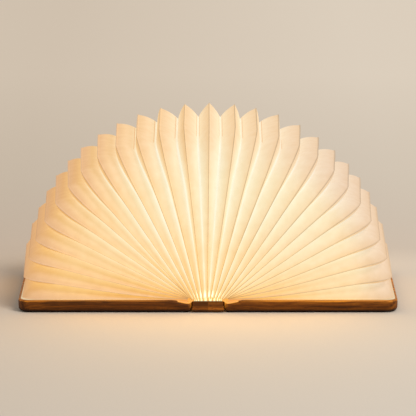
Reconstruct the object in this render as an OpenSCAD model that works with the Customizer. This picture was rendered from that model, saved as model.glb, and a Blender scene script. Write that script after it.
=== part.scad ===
// Folding book lamp, lying open and flat.
// Two wooden covers are hinged by book cloth to a wooden spine that holds the battery and the
// light. A pleated paper fan joins them. Each leaf of the fan is a folded paper frame, open in
// the middle, so the light of the spine reaches all of them.
// +X is to the right, +Y to the back and +Z up. The lamp rests on z = 0.

/* [Covers] */
// Width of a cover, from its hinge end to its outer end
cover_w = 170.5; // [140:0.5:210]
// Length of a cover, front to back
cover_len = 215; // [190:1:260]
// Thickness of a cover
cover_t = 12; // [10:0.5:15]
// Radius of the outer corners, seen from above
corner_r = 12; // [8:1:20]
// Radius of the rounded lower edge
lower_edge_r = 5; // [2:0.5:6]
// Width of the bevel round the upper edge
bevel = 1.5; // [0.5:0.25:2.5]
// Drop of the upper face at the hinge end
hinge_dip = 3.4; // [2:0.1:4]
// Length of the sloping part of the upper face
dip_len = 26; // [18:1:36]

/* [Paper fan] */
// Length of a leaf, from its root to its outer seam
leaf_w = 167; // [130:1:200]
// Margin between the edge of a cover and the paper
paper_margin = 4; // [2:0.5:8]
// Radius of the outer corners of a leaf
leaf_corner_r = 16; // [10:1:24]
// Depth of the pleats at the outer edge
pleat_depth = 14; // [10:0.5:18]
// Depth of the pleats next to the spine
pleat_root_depth = 17; // [12:0.5:22]
// Radius of the inner corners of a pleat
valley_corner_r = 6; // [3:0.5:10]
// How far the front and back folds hang toward the covers
pleat_lean = 0.9; // [0:0.05:0.9]
// Thickness of the paper
paper_t = 0.25; // [0.2:0.01:0.3]
// Thickness of the paper lining on a cover
lining_t = 0.4; // [0.2:0.1:0.6]

/* [Spine] */
// Width of the spine at the top
spine_w = 30; // [28:0.5:36]
// Height of the spine
spine_h = 10; // [9.5:0.25:12]
// Gap between the spine and the table
spine_lift = 1.2; // [0.5:0.1:1.5]
// How much wider the spine is at its waist, on each side
spine_flare = 0.8; // [0:0.1:1]
// Gap between the side of the spine and the hinge line
hinge_gap = 1.3; // [1:0.1:2]
// Setback of the ends of the spine from the ends of the covers
spine_setback = 0.5; // [0:0.5:3]
// Thickness of the floor of the spine
floor_t = 1.8; // [1.5:0.1:2.2]
// Thickness of the long walls of the spine
wall_t = 3; // [2.5:0.1:3.5]
// Thickness of the end walls of the spine
end_wall_t = 8.5; // [8:0.5:12]
// Thickness of the metal deck on the spine
deck_t = 1.2; // [1:0.1:1.5]
// Thickness of the hinge cloth
cloth_t = 0.5; // [0.3:0.1:0.8]
// Width of the hinge cloth on a cover
cloth_grip = 13.5; // [8:0.5:16]

/* [Light] */
// Width of the light-emitting strip
led_board_w = 10; // [8:0.5:12]
// Pitch of the light-emitting diodes
led_pitch = 7; // [5:0.5:12]
// Inner radius of the diffusing cover
lens_r = 5.4; // [5.2:0.1:7]
// Wall of the diffusing cover
lens_wall = 1; // [0.8:0.1:1.4]

/* [Electronics] */
// Length of the battery
battery_len = 105; // [60:1:120]
// Width of the battery
battery_w = 22; // [16:0.5:22]
// Thickness of the battery
battery_t = 5.2; // [4:0.1:5.5]
// Length of the control board
board_len = 45; // [42:1:50]
// Width of the control board
board_w = 20; // [18:0.5:22]
// Width of the charging socket
usb_w = 8.94; // [8.9:0.01:9]
// Height of the charging socket
usb_h = 3.2; // [3.1:0.02:3.3]
// Length of the charging socket
usb_len = 7.3; // [6.5:0.1:8]
// Diameter of the magnet in the right cover
magnet_d = 4; // [3:0.5:5]
// Thickness of the magnet
magnet_t = 3; // [2:0.5:3]

/* [Hidden] */
LEAVES = 12;                              // leaves on each side of the middle one
RIGHT = [for (k = [1:LEAVES]) str("leaf_right_", k)];
LEFT = [for (k = [1:LEAVES]) str("leaf_left_", k)];
$fn = 48;

walnut = "#6b4123";
walnut_dark = "#54321a";
paper = "#f6e0ba";

slip = 0.2;           // clearance round a piece that is dropped into a recess
seat = 0.3;           // gap between a paper edge and what it is glued to
glue = 0.1;           // glue line under the cloth
leaf_gap = 0.2;       // gap between the folds of two leaves
layer = 0.01;         // thickness of the slices that a cover is hulled from

hinge_x = spine_w / 2 + hinge_gap;        // hinge line, at the top of the cover
cover_x0 = hinge_x + slip;
cover_x1 = cover_x0 + cover_w;
dip_x1 = cover_x0 + dip_len;
function slope_z(x) = cover_t - hinge_dip * (dip_x1 - x) / dip_len;

spine_len = cover_len - 2 * spine_setback;
spine_top = spine_lift + spine_h;
floor_z = spine_lift + floor_t;
deck_z = spine_top - deck_t;
cavity_w = spine_w - 2 * wall_t;
cavity_len = spine_len - 2 * end_wall_t;
rebate = 1.9;                             // width of the ledge under the deck
rebate_end = 2;                           // wood left beyond the ends of the deck
deck_w = cavity_w + 2 * rebate - 2 * slip;
deck_len = spine_len - 2 * rebate_end - 2 * slip;

root_z = cover_t + lining_t + seat;       // height of the leaf roots
pitch_angle = 90 / (LEAVES + 1);
leaf_len = cover_len - 2 * paper_margin;
strip_len = pleat_root_depth;

// Deck screws: countersunk, two at each end
screw_x = cavity_w / 2 - 1.5;
screw_y = spine_len / 2 - end_wall_t / 2 - 0.25;
screw_r = 0.95;
screw_fit = 0.05;
screw_len = 5.5;
head_r = 1.8;
head_h = 0.7;

// Control board, on four bosses
boss_h = 1;
boss_r = 1.6;
board_t = 1;
board_z = floor_z + boss_h;
board_top = board_z + board_t;
board_y1 = cavity_len / 2 - 0.5;
board_y0 = board_y1 - board_len;
boss_x = board_w / 2 - 2.5;
boss_ys = [board_y0 + 3, board_y1 - 8];
tongue_w = 10;
tongue_len = 6;
board_screw_r = 0.75;
board_screw_len = 2.6;
usb_y1 = spine_len / 2 - 0.2;
usb_wall = 0.35;
usb_z = board_top + usb_h / 2;
face_t = 2.5;                             // wood left round the socket's mouth
light_x = tongue_w / 2 + 2.3;
light_r = 1;
wire_r = 0.6;

battery_y0 = -cavity_len / 2 + 4;
pad_t = 0.5;
battery_z = floor_z + pad_t;
connector = [6, 5, 3.2];
connector_pos = [-2, board_y0 + 4];
wire_z = board_top + 1.6;
led_wire_pos = [3, board_y0 + 18];
led_board_t = 1;
led_size = [2.8, 3.5, 0.7];
lens_len = leaf_len - 2 * pleat_root_depth - 1;
led_board_len = lens_len - 2 * lens_wall - 2 * slip;
led_top = spine_top + led_board_t;
led_count = 2 * floor((led_board_len / 2 - 4) / led_pitch) + 1;

hall_pos = [board_w / 2 - 2.5, board_y0 + 9];
magnet_x = cover_x0 + 11;
magnet_z = slope_z(magnet_x) - glue - magnet_t - magnet_d / 2 * hinge_dip / dip_len;

// ---------- covers ----------

// One slice of a cover's outline at height z, drawn in by inset on the three free sides
module cover_slice(z, inset) {
    for (side = [-1, 1])
        translate([cover_x1 - corner_r, side * (cover_len / 2 - corner_r), z])
            cylinder(r = corner_r - inset, h = layer, $fn = 32);
    translate([0, -cover_len / 2 + inset, z])
        cube([1, cover_len - 2 * inset, layer]);
}

module cover_blank() {
    r = lower_edge_r;
    hull() {
        for (a = [0:22.5:90])
            cover_slice(r * (1 - cos(a)), r * (1 - sin(a)));
        cover_slice(cover_t - bevel - layer, 0);
        cover_slice(cover_t - layer, bevel);
    }
}

// The hinge end: upright above, rounded below
module hinge_end() {
    r = lower_edge_r;
    reach = cover_w + 1;
    translate([cover_x0, -cover_len / 2, r]) cube([reach, cover_len, cover_t]);
    translate([cover_x0 + r, -cover_len / 2, 0]) cube([reach, cover_len, cover_t]);
    translate([cover_x0 + r, cover_len / 2, r]) rotate([90, 0, 0]) cylinder(r = r, h = cover_len);
}

module cover_body() {
    difference() {
        intersection() {
            cover_blank();
            hinge_end();
        }
        translate([0, cover_len / 2 + 1, 0]) rotate([90, 0, 0]) linear_extrude(height = cover_len + 2)
            polygon([[cover_x0 - 1, slope_z(cover_x0 - 1)], [dip_x1, cover_t],
                     [dip_x1, cover_t + 1], [cover_x0 - 1, cover_t + 1]]);
    }
}

module cover_right() {
    color(walnut) difference() {
        cover_body();
        translate([magnet_x, hall_pos[1], magnet_z]) cylinder(d = magnet_d + 0.1, h = cover_t);
    }
}

module cover_left() {
    color(walnut) mirror([1, 0, 0]) cover_body();
}

module trigger_magnet() {
    color("silver") translate([magnet_x, hall_pos[1], magnet_z]) cylinder(d = magnet_d, h = magnet_t);
}

module lining() {
    r = corner_r - paper_margin;
    x0 = dip_x1 + 1;
    x1 = cover_x1 - paper_margin + 0.5;
    color(paper) translate([0, 0, cover_t]) linear_extrude(height = lining_t) union() {
        translate([x0, -leaf_len / 2]) square([x1 - r - x0, leaf_len]);
        translate([x0, -leaf_len / 2 + r]) square([x1 - x0, leaf_len - 2 * r]);
        for (side = [-1, 1]) translate([x1 - r, side * (leaf_len / 2 - r)]) circle(r = r);
    }
}

module lining_right() { lining(); }
module lining_left() { mirror([1, 0, 0]) lining(); }

// A strip of book cloth from the top of the spine down to the sloping face of a cover
module hinge_cloth() {
    x0 = deck_w / 2 + slip;
    x1 = spine_w / 2 + glue;
    x2 = cover_x0 + 3;
    x3 = cover_x0 + cloth_grip;
    z1 = spine_top + glue;
    under = [[x0, z1], [x1, z1], [x2, slope_z(x2) + glue], [x3, slope_z(x3) + glue]];
    over = [for (i = [3:-1:0]) under[i] + [0, cloth_t]];
    color("#c98a45") translate([0, leaf_len / 2, 0]) rotate([90, 0, 0])
        linear_extrude(height = leaf_len) polygon(concat(under, over));
}

module hinge_cloth_right() { hinge_cloth(); }
module hinge_cloth_left() { mirror([1, 0, 0]) hinge_cloth(); }

// ---------- spine ----------

module spine_block() {
    half = spine_w / 2;
    translate([0, spine_len / 2, 0]) rotate([90, 0, 0]) linear_extrude(height = spine_len)
        polygon([[-half, spine_top], [-half, spine_lift + spine_h * 0.45],
                 [-half - spine_flare, spine_lift + spine_h * 0.2], [-half + 0.5, spine_lift],
                 [half - 0.5, spine_lift], [half + spine_flare, spine_lift + spine_h * 0.2],
                 [half, spine_lift + spine_h * 0.45], [half, spine_top]]);
}

module centred_box(size, z) {
    translate([-size[0] / 2, -size[1] / 2, z]) cube(size);
}

// Mouth of the charging socket: a slot with round ends, along Y
module usb_outline(w, h, y0, len) {
    r = h / 2;
    translate([0, y0 + len, usb_z]) rotate([90, 0, 0]) {
        for (side = [-1, 1]) translate([side * (w / 2 - r), 0, 0]) cylinder(r = r, h = len);
        translate([-w / 2 + r, -r, 0]) cube([w - 2 * r, h, len]);
    }
}

module screw_places() {
    for (x = [-screw_x, screw_x], y = [-screw_y, screw_y]) translate([x, y, 0]) children();
}

module boss_places() {
    for (x = [-boss_x, boss_x], y = boss_ys) translate([x, y, 0]) children();
}

module spine_housing() {
    pocket_y1 = spine_len / 2 - face_t;
    color(walnut_dark) difference() {
        union() {
            difference() {
                spine_block();
                centred_box([cavity_w, cavity_len, spine_h], floor_z);
                centred_box([deck_w + 2 * slip, deck_len + 2 * slip, spine_h], deck_z);
                translate([-tongue_w / 2 - slip, cavity_len / 2 - 1, board_z - slip])
                    cube([tongue_w + 2 * slip, pocket_y1 - cavity_len / 2 + 1,
                          board_t + usb_h + 2 * slip]);
            }
            boss_places() translate([0, 0, floor_z - 0.5]) cylinder(r = boss_r, h = boss_h + 0.5);
        }
        usb_outline(usb_w + 2 * slip, usb_h + 2 * slip, pocket_y1 - 1, face_t + 2);
        translate([light_x, spine_len / 2 + 1, usb_z]) rotate([90, 0, 0])
            cylinder(r = light_r + screw_fit, h = end_wall_t + 2);
        screw_places() translate([0, 0, deck_z - screw_len - 0.3])
            cylinder(r = screw_r + screw_fit, h = screw_len + 1);
        boss_places() translate([0, 0, board_top - board_screw_len - 0.2])
            cylinder(r = board_screw_r + screw_fit, h = board_screw_len);
    }
}

module deck() {
    color("#c9ccd0") difference() {
        centred_box([deck_w, deck_len, deck_t], deck_z);
        screw_places() {
            translate([0, 0, deck_z - 1]) cylinder(r = screw_r + slip, h = deck_t + 2);
            translate([0, 0, spine_top - head_h - glue]) cylinder(r = head_r + slip, h = head_h + 1);
        }
        translate([led_wire_pos[0], led_wire_pos[1], deck_z - 1]) cylinder(r = 2.2, h = deck_t + 2);
    }
}

module deck_screws() {
    color("dimgray") screw_places() {
        translate([0, 0, spine_top - head_h - glue]) cylinder(r = head_r, h = head_h);
        translate([0, 0, deck_z - screw_len]) cylinder(r = screw_r, h = screw_len + deck_t - head_h - glue);
    }
}

module root_strip(side) {
    w = 2 * (deck_w / 2 - slip);
    y = side * (leaf_len / 2 - strip_len / 2);
    color(paper) translate([0, y, 0]) centred_box([w, strip_len, root_z - seat - spine_top], spine_top);
}

module root_strip_front() { root_strip(-1); }
module root_strip_back() { root_strip(1); }

// ---------- light ----------

module led_board() {
    color("white") centred_box([led_board_w, led_board_len, led_board_t], spine_top);
}

module leds() {
    color("#ffe9a8") for (i = [-(led_count - 1) / 2:(led_count - 1) / 2])
        translate([0, i * led_pitch, 0]) centred_box(led_size, led_top);
}

// A half-round trough, upside down, with closed ends
module lens() {
    color("#fff6df", 0.8) difference() {
        intersection() {
            translate([0, lens_len / 2, spine_top]) rotate([90, 0, 0])
                cylinder(r = lens_r + lens_wall, h = lens_len);
            centred_box([4 * lens_r, lens_len, 2 * lens_r], spine_top);
        }
        translate([0, lens_len / 2 - lens_wall, spine_top]) rotate([90, 0, 0])
            cylinder(r = lens_r, h = lens_len - 2 * lens_wall);
    }
}

// ---------- electronics ----------

module battery() {
    r = battery_t / 2;
    color("#8f959b") translate([0, battery_y0, battery_z]) {
        for (side = [-1, 1]) translate([side * (battery_w / 2 - r), battery_len, r])
            rotate([90, 0, 0]) cylinder(r = r, h = battery_len);
        translate([-battery_w / 2 + r, 0, 0]) cube([battery_w - 2 * r, battery_len, battery_t]);
    }
}

module battery_pad() {
    color("#3a3a3a") translate([0, battery_y0 + battery_len / 2, 0])
        centred_box([battery_w - battery_t, battery_len - 5, pad_t], floor_z);
}

module battery_leads() {
    y0 = battery_y0 + battery_len;
    y1 = connector_pos[1] - connector[1] / 2;
    color("firebrick") for (dx = [-1, 1]) translate([connector_pos[0] + dx, y1, wire_z])
        rotate([90, 0, 0]) cylinder(r = wire_r, h = y1 - y0);
}

module battery_connector() {
    color("ivory") translate([connector_pos[0], connector_pos[1], 0]) centred_box(connector, board_top);
}

module control_board() {
    color("#1f5c3a") difference() {
        union() {
            translate([-board_w / 2, board_y0, board_z]) cube([board_w, board_len, board_t]);
            translate([-tongue_w / 2, board_y1 - 1, board_z]) cube([tongue_w, tongue_len + 1, board_t]);
        }
        boss_places() translate([0, 0, board_z - 1]) cylinder(r = board_screw_r + slip, h = board_t + 2);
    }
}

module board_screws() {
    color("silver") boss_places() {
        translate([0, 0, board_top - board_screw_len]) cylinder(r = board_screw_r, h = board_screw_len);
        translate([0, 0, board_top]) cylinder(r = 2 * board_screw_r, h = head_h);
    }
}

// Charger, light driver and coil on the control board
module driver_chips() {
    color("#2b2b2b") {
        translate([-6, board_y0 + 16, board_top]) cube([4, 4, 0.9]);
        translate([-6, board_y0 + 25, board_top]) cube([5, 4, 0.9]);
        translate([1.5, board_y0 + 25, board_top]) cube([4, 4, 2]);
    }
}

module hall_switch() {
    color("#2b2b2b") translate([hall_pos[0], hall_pos[1], 0]) centred_box([1.6, 3, 1.1], board_top);
}

module led_leads() {
    color("firebrick") for (dx = [-1, 1])
        translate([led_wire_pos[0] + dx, led_wire_pos[1], board_top])
            cylinder(r = wire_r, h = spine_top - board_top);
}

module usb_port() {
    color("silver") union() {
        difference() {
            usb_outline(usb_w, usb_h, usb_y1 - usb_len, usb_len);
            usb_outline(usb_w - 2 * usb_wall, usb_h - 2 * usb_wall, usb_y1 - usb_len + 1, usb_len);
        }
        translate([-3.3, usb_y1 - usb_len + 0.5, usb_z - usb_wall]) cube([6.6, usb_len - 1.5, 2 * usb_wall]);
    }
}

module charge_light() {
    y1 = spine_len / 2 - 0.1;
    color("#dff5e0") translate([light_x, y1, usb_z]) rotate([90, 0, 0])
        cylinder(r = light_r, h = end_wall_t - 0.3);
}

// ---------- paper fan ----------

// Tilt of leaf k from upright, toward +X; k is negative on the left
function tilt(k) = k * pitch_angle;

// The roots crowd toward the two hinge lines
function root_x(k) = sign(k) * hinge_x * (1 - pow(1 - abs(k) / (LEAVES + 1), 4));

// Point at distance s from the root of leaf k, at depth y
function leaf_at(k, s, y) = [root_x(k) + s * sin(tilt(k)), y, root_z + s * cos(tilt(k))];

// Distance from leaf k to its neighbour on the given side
function spacing(k, side, s) = norm(leaf_at(k + side, s, 0) - leaf_at(k, s, 0));

// Where the fold between leaf n and the next one out lies, as a share of their spacing from leaf n.
// At the outer edge it is half way. At the front and back the paper hangs toward the cover, so the
// fold lies behind the seam of leaf n, and more so the further the leaf is from upright.
hang_len = 33;      // length over which the lean fades toward the outer edge
lean_onset = 1.6;   // number of leaves over which the lean sets in
first_lean = 0.2;   // lean of the first fold, in leaves
function hang(s) = let (t = min(1, max(0, (leaf_w - pleat_depth - s) / hang_len))) t * t * (3 - 2 * t);
function fold_share(n, s) = 0.5 * (1 - pleat_lean * hang(s) * (1 - exp(-(n + first_lean) / lean_onset)));

// Distance from leaf k to its fold on the given side, half a gap short of the neighbour's fold
function fold_distance(k, side, s) =
    let (room = spacing(k, side, s),
         near = max(fold_room / 2, room * fold_share(min(abs(k), abs(k + side)), s)))
    (abs(k + side) > abs(k) ? near : room - near) - leaf_gap / 2;
function toward(k, side, s) = (leaf_at(k + side, s, 0) - leaf_at(k, s, 0)) / spacing(k, side, s);

// Next to the hinge line a leaf starts where it has room for its two folds
fold_room = 4 * paper_t + leaf_gap;
function start_s(k) = max(0,
    (fold_room - (root_x(min(abs(k), LEAVES) + 1) - root_x(min(abs(k), LEAVES))) * cos(tilt(k)))
    / (2 * sin(pitch_angle / 2)));

// The U-shaped course of the outer seam or of a fold, as points of distance from the root and
// depth. The front half runs from the root, where the pleat is root_in deep, to the corner, where
// it is corner_in deep, and round the corner. The back half is its mirror image. The steps are
// shares of the way to the corner, and all leaves have the same ones, so that their folds match.
arc_steps = 6;
first_step = 0.02;
steps = [0.1, 0.25, 0.5, 0.7, 0.79, 0.86, 0.93];
function straight_steps(t0) = concat([t0], [for (t = steps) if (t > t0 + first_step) t]);
function front_half(t0, corner_s, half, r, root_in, corner_in) = concat(
    [for (t = straight_steps(t0)) [corner_s * t, -half + root_in + (corner_in - root_in) * t]],
    [for (i = [0:arc_steps]) let (a = 90 * i / arc_steps)
        [corner_s + r * sin(a), -half + corner_in + r - r * cos(a)]]);
function mirrored(c) = concat(c, [for (i = [len(c) - 1:-1:0]) [c[i][0], -c[i][1]]]);

fold_corner_s = leaf_w - pleat_depth - valley_corner_r;
function seam_course(k) = mirrored(front_half(start_s(k) / fold_corner_s, leaf_w - leaf_corner_r,
                                              leaf_len / 2, leaf_corner_r, 0, 0));
function fold_course(k) = mirrored(front_half(start_s(k) / fold_corner_s, fold_corner_s,
                                              leaf_len / 2, valley_corner_r, pleat_root_depth,
                                              pleat_depth));

// Cross-sections of a leaf: the seam, each fold's outer and inner edge, and the inner apex.
// The apex is where the two inner faces meet, one wall in from the outer ones.
function section(k, seam, fold, sides) =
    let (own = leaf_at(k, fold[0], fold[1]), top = leaf_at(k, seam[0], seam[1]), down = own - top,
         w = [for (side = sides) fold_distance(k, side, fold[0])],
         wall = [for (v = w) paper_t * norm([v, norm(down)]) / norm(down)],
         dir = [for (side = sides) toward(k, side, fold[0])],
         outer = [for (i = [0:len(sides) - 1]) own + dir[i] * w[i]],
         inner = [for (i = [0:len(sides) - 1]) own + dir[i] * (w[i] - wall[i])])
    len(sides) == 2
        ? let (sunk = (wall[0] + wall[1]) / (w[0] + w[1]))
            [top, outer[1], inner[1], top + down * sunk + dir[0] * (w[0] * sunk - wall[0]),
             inner[0], outer[0]]
        : [top, top + down * wall[0] / w[0], inner[0], outer[0]];

// Which walls between two sections are split along their second diagonal, so that the inner and
// the outer face of a web bend alike
second_diagonal = [[false, false, false, true], [false, false, true, false, false, true]];

// A closed ribbon of paper through the cross-sections, each a fan of triangles round its first
// point. turn gives the faces the other sense, for sections that run the other way round.
module ribbon(sections, turn) {
    m = len(sections[0]);
    n = len(sections);
    points = [for (s = sections, p = s) p];
    walls = [for (i = [0:n - 2], j = [0:m - 1])
        let (a = i * m + j, b = i * m + (j + 1) % m,
             second = second_diagonal[m == 4 ? 0 : 1][j] != (i >= n / 2 - 0.5))
        each (second ? [[a, a + m, b], [b, a + m, b + m]] : [[a, b + m, b], [a, a + m, b + m]])];
    start = [for (j = [1:m - 2]) [0, j, j + 1]];
    last = [for (f = start) [for (i = [2:-1:0]) f[i] + (n - 1) * m]];
    faces = concat(walls, start, last);
    polyhedron(points = points, faces = turn ? [for (f = faces) [f[2], f[1], f[0]]] : faces);
}

module leaf(k, sides = [-1, 1], turn = false) {
    seam = seam_course(k);
    fold = fold_course(k);
    color(paper) ribbon([for (i = [0:len(seam) - 1]) section(k, seam[i], fold[i], sides)], turn);
}

module leaf_middle() { leaf(0); }

// The last folds are glued to the linings, so an end leaf has one side only
module end_leaf_right() { leaf(LEAVES + 1, [-1]); }
module end_leaf_left() { leaf(-LEAVES - 1, [1], true); }

cover_right();
cover_left();
lining_right();
lining_left();
hinge_cloth_right();
hinge_cloth_left();
trigger_magnet();
spine_housing();
deck();
deck_screws();
led_board();
leds();
lens();
root_strip_front();
root_strip_back();
battery();
battery_pad();
battery_leads();
battery_connector();
control_board();
board_screws();
driver_chips();
hall_switch();
led_leads();
usb_port();
charge_light();
leaf_middle();
end_leaf_right();
end_leaf_left();
for (k = [1:LEAVES]) {
    leaf(k);
    leaf(-k);
}
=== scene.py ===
# %% [markdown]
# # A folding book lamp
#
# Two walnut boards lie open like the covers of a book. A fan of pleated paper joins them, and
# a strip of light in the spine shines through the paper. Every piece below except the hinge cloths
# rides on a body of the imported model, so that the lamp can also be shown while it closes.

import math

import bmesh
import bpy
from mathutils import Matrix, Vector


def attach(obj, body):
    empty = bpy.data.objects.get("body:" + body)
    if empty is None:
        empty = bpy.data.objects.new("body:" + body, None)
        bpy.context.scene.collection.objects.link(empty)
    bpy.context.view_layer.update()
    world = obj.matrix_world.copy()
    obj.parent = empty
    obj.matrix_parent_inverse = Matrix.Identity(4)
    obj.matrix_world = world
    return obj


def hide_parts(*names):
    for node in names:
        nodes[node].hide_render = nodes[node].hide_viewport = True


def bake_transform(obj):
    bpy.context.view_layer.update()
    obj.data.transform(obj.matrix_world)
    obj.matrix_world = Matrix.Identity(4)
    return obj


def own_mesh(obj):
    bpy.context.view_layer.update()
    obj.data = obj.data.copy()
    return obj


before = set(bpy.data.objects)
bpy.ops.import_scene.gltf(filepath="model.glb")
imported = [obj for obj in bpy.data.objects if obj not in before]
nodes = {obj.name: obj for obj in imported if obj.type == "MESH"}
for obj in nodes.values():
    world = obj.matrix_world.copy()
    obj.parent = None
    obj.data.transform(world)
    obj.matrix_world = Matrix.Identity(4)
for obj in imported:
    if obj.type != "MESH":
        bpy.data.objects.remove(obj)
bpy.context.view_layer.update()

# %% [markdown]
# ## Small helpers
#
# Hex colours are written for a screen, in sRGB. The shaders mix light, so every colour is
# turned to linear values once, by one function. Another gives a node its inputs, and a third adds
# a node with its settings and links, which keeps each node tree below readable from top to bottom.
# Inputs go by their names, or by their numbers where that is shorter or names are the same.

# %% Colour and node helpers
MM = 0.001
SMOOTH = {"interpolation_type": "SMOOTHSTEP"}  # a MapRange that starts and ends softly
A, B = 6, 7  # the two colours of a Mix node


def lin(hex_colour):
    """A linear RGBA colour from an sRGB hex string."""
    srgb = [int(hex_colour[i : i + 2], 16) / 255 for i in (1, 3, 5)]
    return tuple(c / 12.92 if c <= 0.04045 else ((c + 0.055) / 1.055) ** 2.4 for c in srgb) + (1.0,)


def feed(node, inputs):
    """Sets inputs. Each is a value, a socket, or a node that is taken by its first output in use."""
    for name, value in inputs.items():
        if isinstance(value, bpy.types.Node):
            value = next(output for output in value.outputs if output.enabled)
        if isinstance(value, bpy.types.NodeSocket):
            node.id_data.links.new(value, node.inputs[name])
        else:
            node.inputs[name].default_value = value


def add(tree, kind, inputs=(), stops=(), points=(), **settings):
    """Adds a node. A kind without a prefix is a shader node: Math stands for ShaderNodeMath.

    Stops are the places and hex colours of a colour ramp, and points those of a float curve.
    """
    full = kind.startswith(("Geometry", "Function", "NodeGroup"))
    node = tree.nodes.new(kind if full else "ShaderNode" + kind)
    for name, value in settings.items():
        setattr(node, name, value)
    for _ in stops[2:]:
        node.color_ramp.elements.new(0.5)
    for element, (position, colour) in zip(node.color_ramp.elements if stops else (), stops):
        element.position, element.color = position, lin(colour)
    if points:
        curve = node.mapping.curves[0]
        while len(curve.points) < len(points):
            curve.points.new(0.5, 0.5)
        for point, place in zip(curve.points, points):
            point.location = place
        node.mapping.update()
    feed(node, dict(inputs))
    return node


print("white is", lin("#ffffff"))

# %% [markdown]
# ## Camera
#
# The lamp is seen straight from the front and a little from above. A long lens from four metres
# keeps the front and back edges of the boards nearly the same length. The camera is tipped up a
# little from the lamp's centre, which puts the lamp in the lower part of the picture.

# %% Camera
CAMERA_DISTANCE = 4.0
CAMERA_ELEVATION = math.radians(11)
PICTURE_SIDE = 416  # pixels
FOCAL_PIXELS = 3957
ORIGIN_BELOW_CENTRE = 84  # pixels

camera_data = bpy.data.cameras.new("camera")
camera_data.sensor_width = 36
camera_data.lens = FOCAL_PIXELS / PICTURE_SIDE * camera_data.sensor_width
camera_data.clip_end = 40
camera = bpy.data.objects.new("camera", camera_data)
bpy.context.scene.collection.objects.link(camera)
bpy.context.scene.camera = camera
camera.location = (
    0,
    -CAMERA_DISTANCE * math.cos(CAMERA_ELEVATION),
    CAMERA_DISTANCE * math.sin(CAMERA_ELEVATION),
)
pitch = CAMERA_ELEVATION - math.atan(ORIGIN_BELOW_CENTRE / FOCAL_PIXELS)
camera.rotation_euler = (math.pi / 2 - pitch, 0, 0)
print("lens", round(camera_data.lens, 1), "mm, tipped down", round(math.degrees(pitch), 2), "degrees")

# %% [markdown]
# ## Sizes of the lamp
#
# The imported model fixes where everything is. Its leaves all follow one rule: leaf number k
# leans by k equal steps, from 0 in the middle to 13 steps, which is flat on a board. The roots
# crowd toward the two hinge lines beside the spine.

# %% Sizes, in metres
LEAVES = 12  # between the middle one and the one on the board
HINGE_X = 16.3 * MM
HINGE_Z = 12 * MM
ROOT_Z = 12.7 * MM
CROWDING = 4  # the power by which the roots crowd toward the hinge lines
LEAF_LEN = 167 * MM
LEAF_HALF = 103.5 * MM
PLEAT = 14 * MM
ROOT_PLEAT = 17 * MM
VALLEY_CORNER = 6 * MM
PITCH = math.pi / 2 / (LEAVES + 1)
LEAN = 0.9  # how far the folds of the lowest leaves hang toward the board, as a share of half the gap
PAPER_T = 0.15 * MM
FOLD_ROOM = 0.45 * MM  # least room for a leaf between its neighbours, next to the hinge line
RIDGE = 0.2 * MM  # half the width of the glued seam
BOARD_T = 12 * MM
BOARD_X0, BOARD_X1 = 16.5 * MM, 187 * MM
BOARD_HALF = 107.5 * MM


def root_x(k):
    return math.copysign(HINGE_X * (1 - (1 - abs(k) / (LEAVES + 1)) ** CROWDING), k) if k else 0.0


def spacing(k, reach):
    """How far apart leaves k and k + 1 are, at that distance from their roots (k is 0 to 12)."""
    dx = root_x(k + 1) - root_x(k)
    return math.hypot(
        dx + reach * (math.sin((k + 1) * PITCH) - math.sin(k * PITCH)),
        reach * (math.cos((k + 1) * PITCH) - math.cos(k * PITCH)),
    )


print("leaves are", round(spacing(3, 0.15) * 1000, 1), "mm apart near their outer edge")

# %% [markdown]
# ## Paper
#
# The leaves are non-woven polymer paper: fibres pressed flat, tough, matt and milky. The light
# inside comes through it, so most of what the eye sees is glow, and only a little is light from
# the room. The glow is strongest in the valleys, which are nearest to the light, and it turns
# from pale yellow to amber toward the boards, where it grazes the paper. Each leaf carries three
# numbers on its mesh for this: how far a point is across its web, how far it reaches from the
# root, and how far the leaf leans.

# %% Paper material
def new_material(name):
    material = bpy.data.materials.new(name)
    material.use_nodes = True
    tree = material.node_tree
    tree.nodes.clear()
    shader = add(tree, "BsdfPrincipled")
    add(tree, "OutputMaterial", {"Surface": shader})
    return material, tree, shader


paper, tree, shader = new_material("nonwoven_paper_lit_from_within")
web, reach, spread = (
    add(tree, "Attribute", attribute_name=name).outputs["Fac"] for name in ("web", "reach", "spread")
)
place = add(tree, "TexCoord").outputs["Object"]
x = add(tree, "SeparateXYZ", {0: place})
width = add(tree, "Math", {0: web}, operation="ABSOLUTE")
lean = add(tree, "Math", {0: spread}, operation="ABSOLUTE")
side = add(tree, "Math", {0: spread}, operation="SIGN")
far = add(tree, "MapRange", {0: reach, 2: 0.17})
# glow on the side of the seam and on the side of the valley, by the distance from the root
near_seam = add(
    tree, "FloatCurve", {"Value": far},
    points=[(0, 0), (0.1, 0.07), (0.2, 0.21), (0.27, 0.26), (0.4, 0.37),
            (0.58, 0.46), (0.78, 0.44), (0.9, 0.38), (1, 0.38)],
)
near_valley = add(
    tree, "FloatCurve", {"Value": far},
    points=[(0, 0.78), (0.08, 0.92), (0.16, 0.92), (0.26, 0.86), (0.4, 0.92),
            (0.58, 0.96), (0.8, 0.92), (0.9, 0.80), (1, 0.62)],
)
# on the left the glow fades evenly from the valley to the seam, on the right mostly next to the seam
fading = add(tree, "MapRange", {0: spread, 1: -0.1, 2: -0.01, 3: 0.9, 4: 0.65})
low_left = add(tree, "MapRange", {0: spread, 1: -0.5, 2: -0.8, 3: 0.0, 4: 0.45})
outward = add(tree, "MapRange", {0: reach, 1: 0.07, 2: 0.13})
low_left = add(tree, "Math", {0: low_left, 1: outward}, operation="MULTIPLY")
fading = add(tree, "Math", {0: fading, 1: low_left}, operation="SUBTRACT")
across = add(tree, "Math", {0: width, 1: fading}, operation="POWER")
glow = add(tree, "MapRange", {0: across, 3: near_seam, 4: near_valley})
print("glow by place on a leaf:", len(tree.nodes), "nodes")

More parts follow.
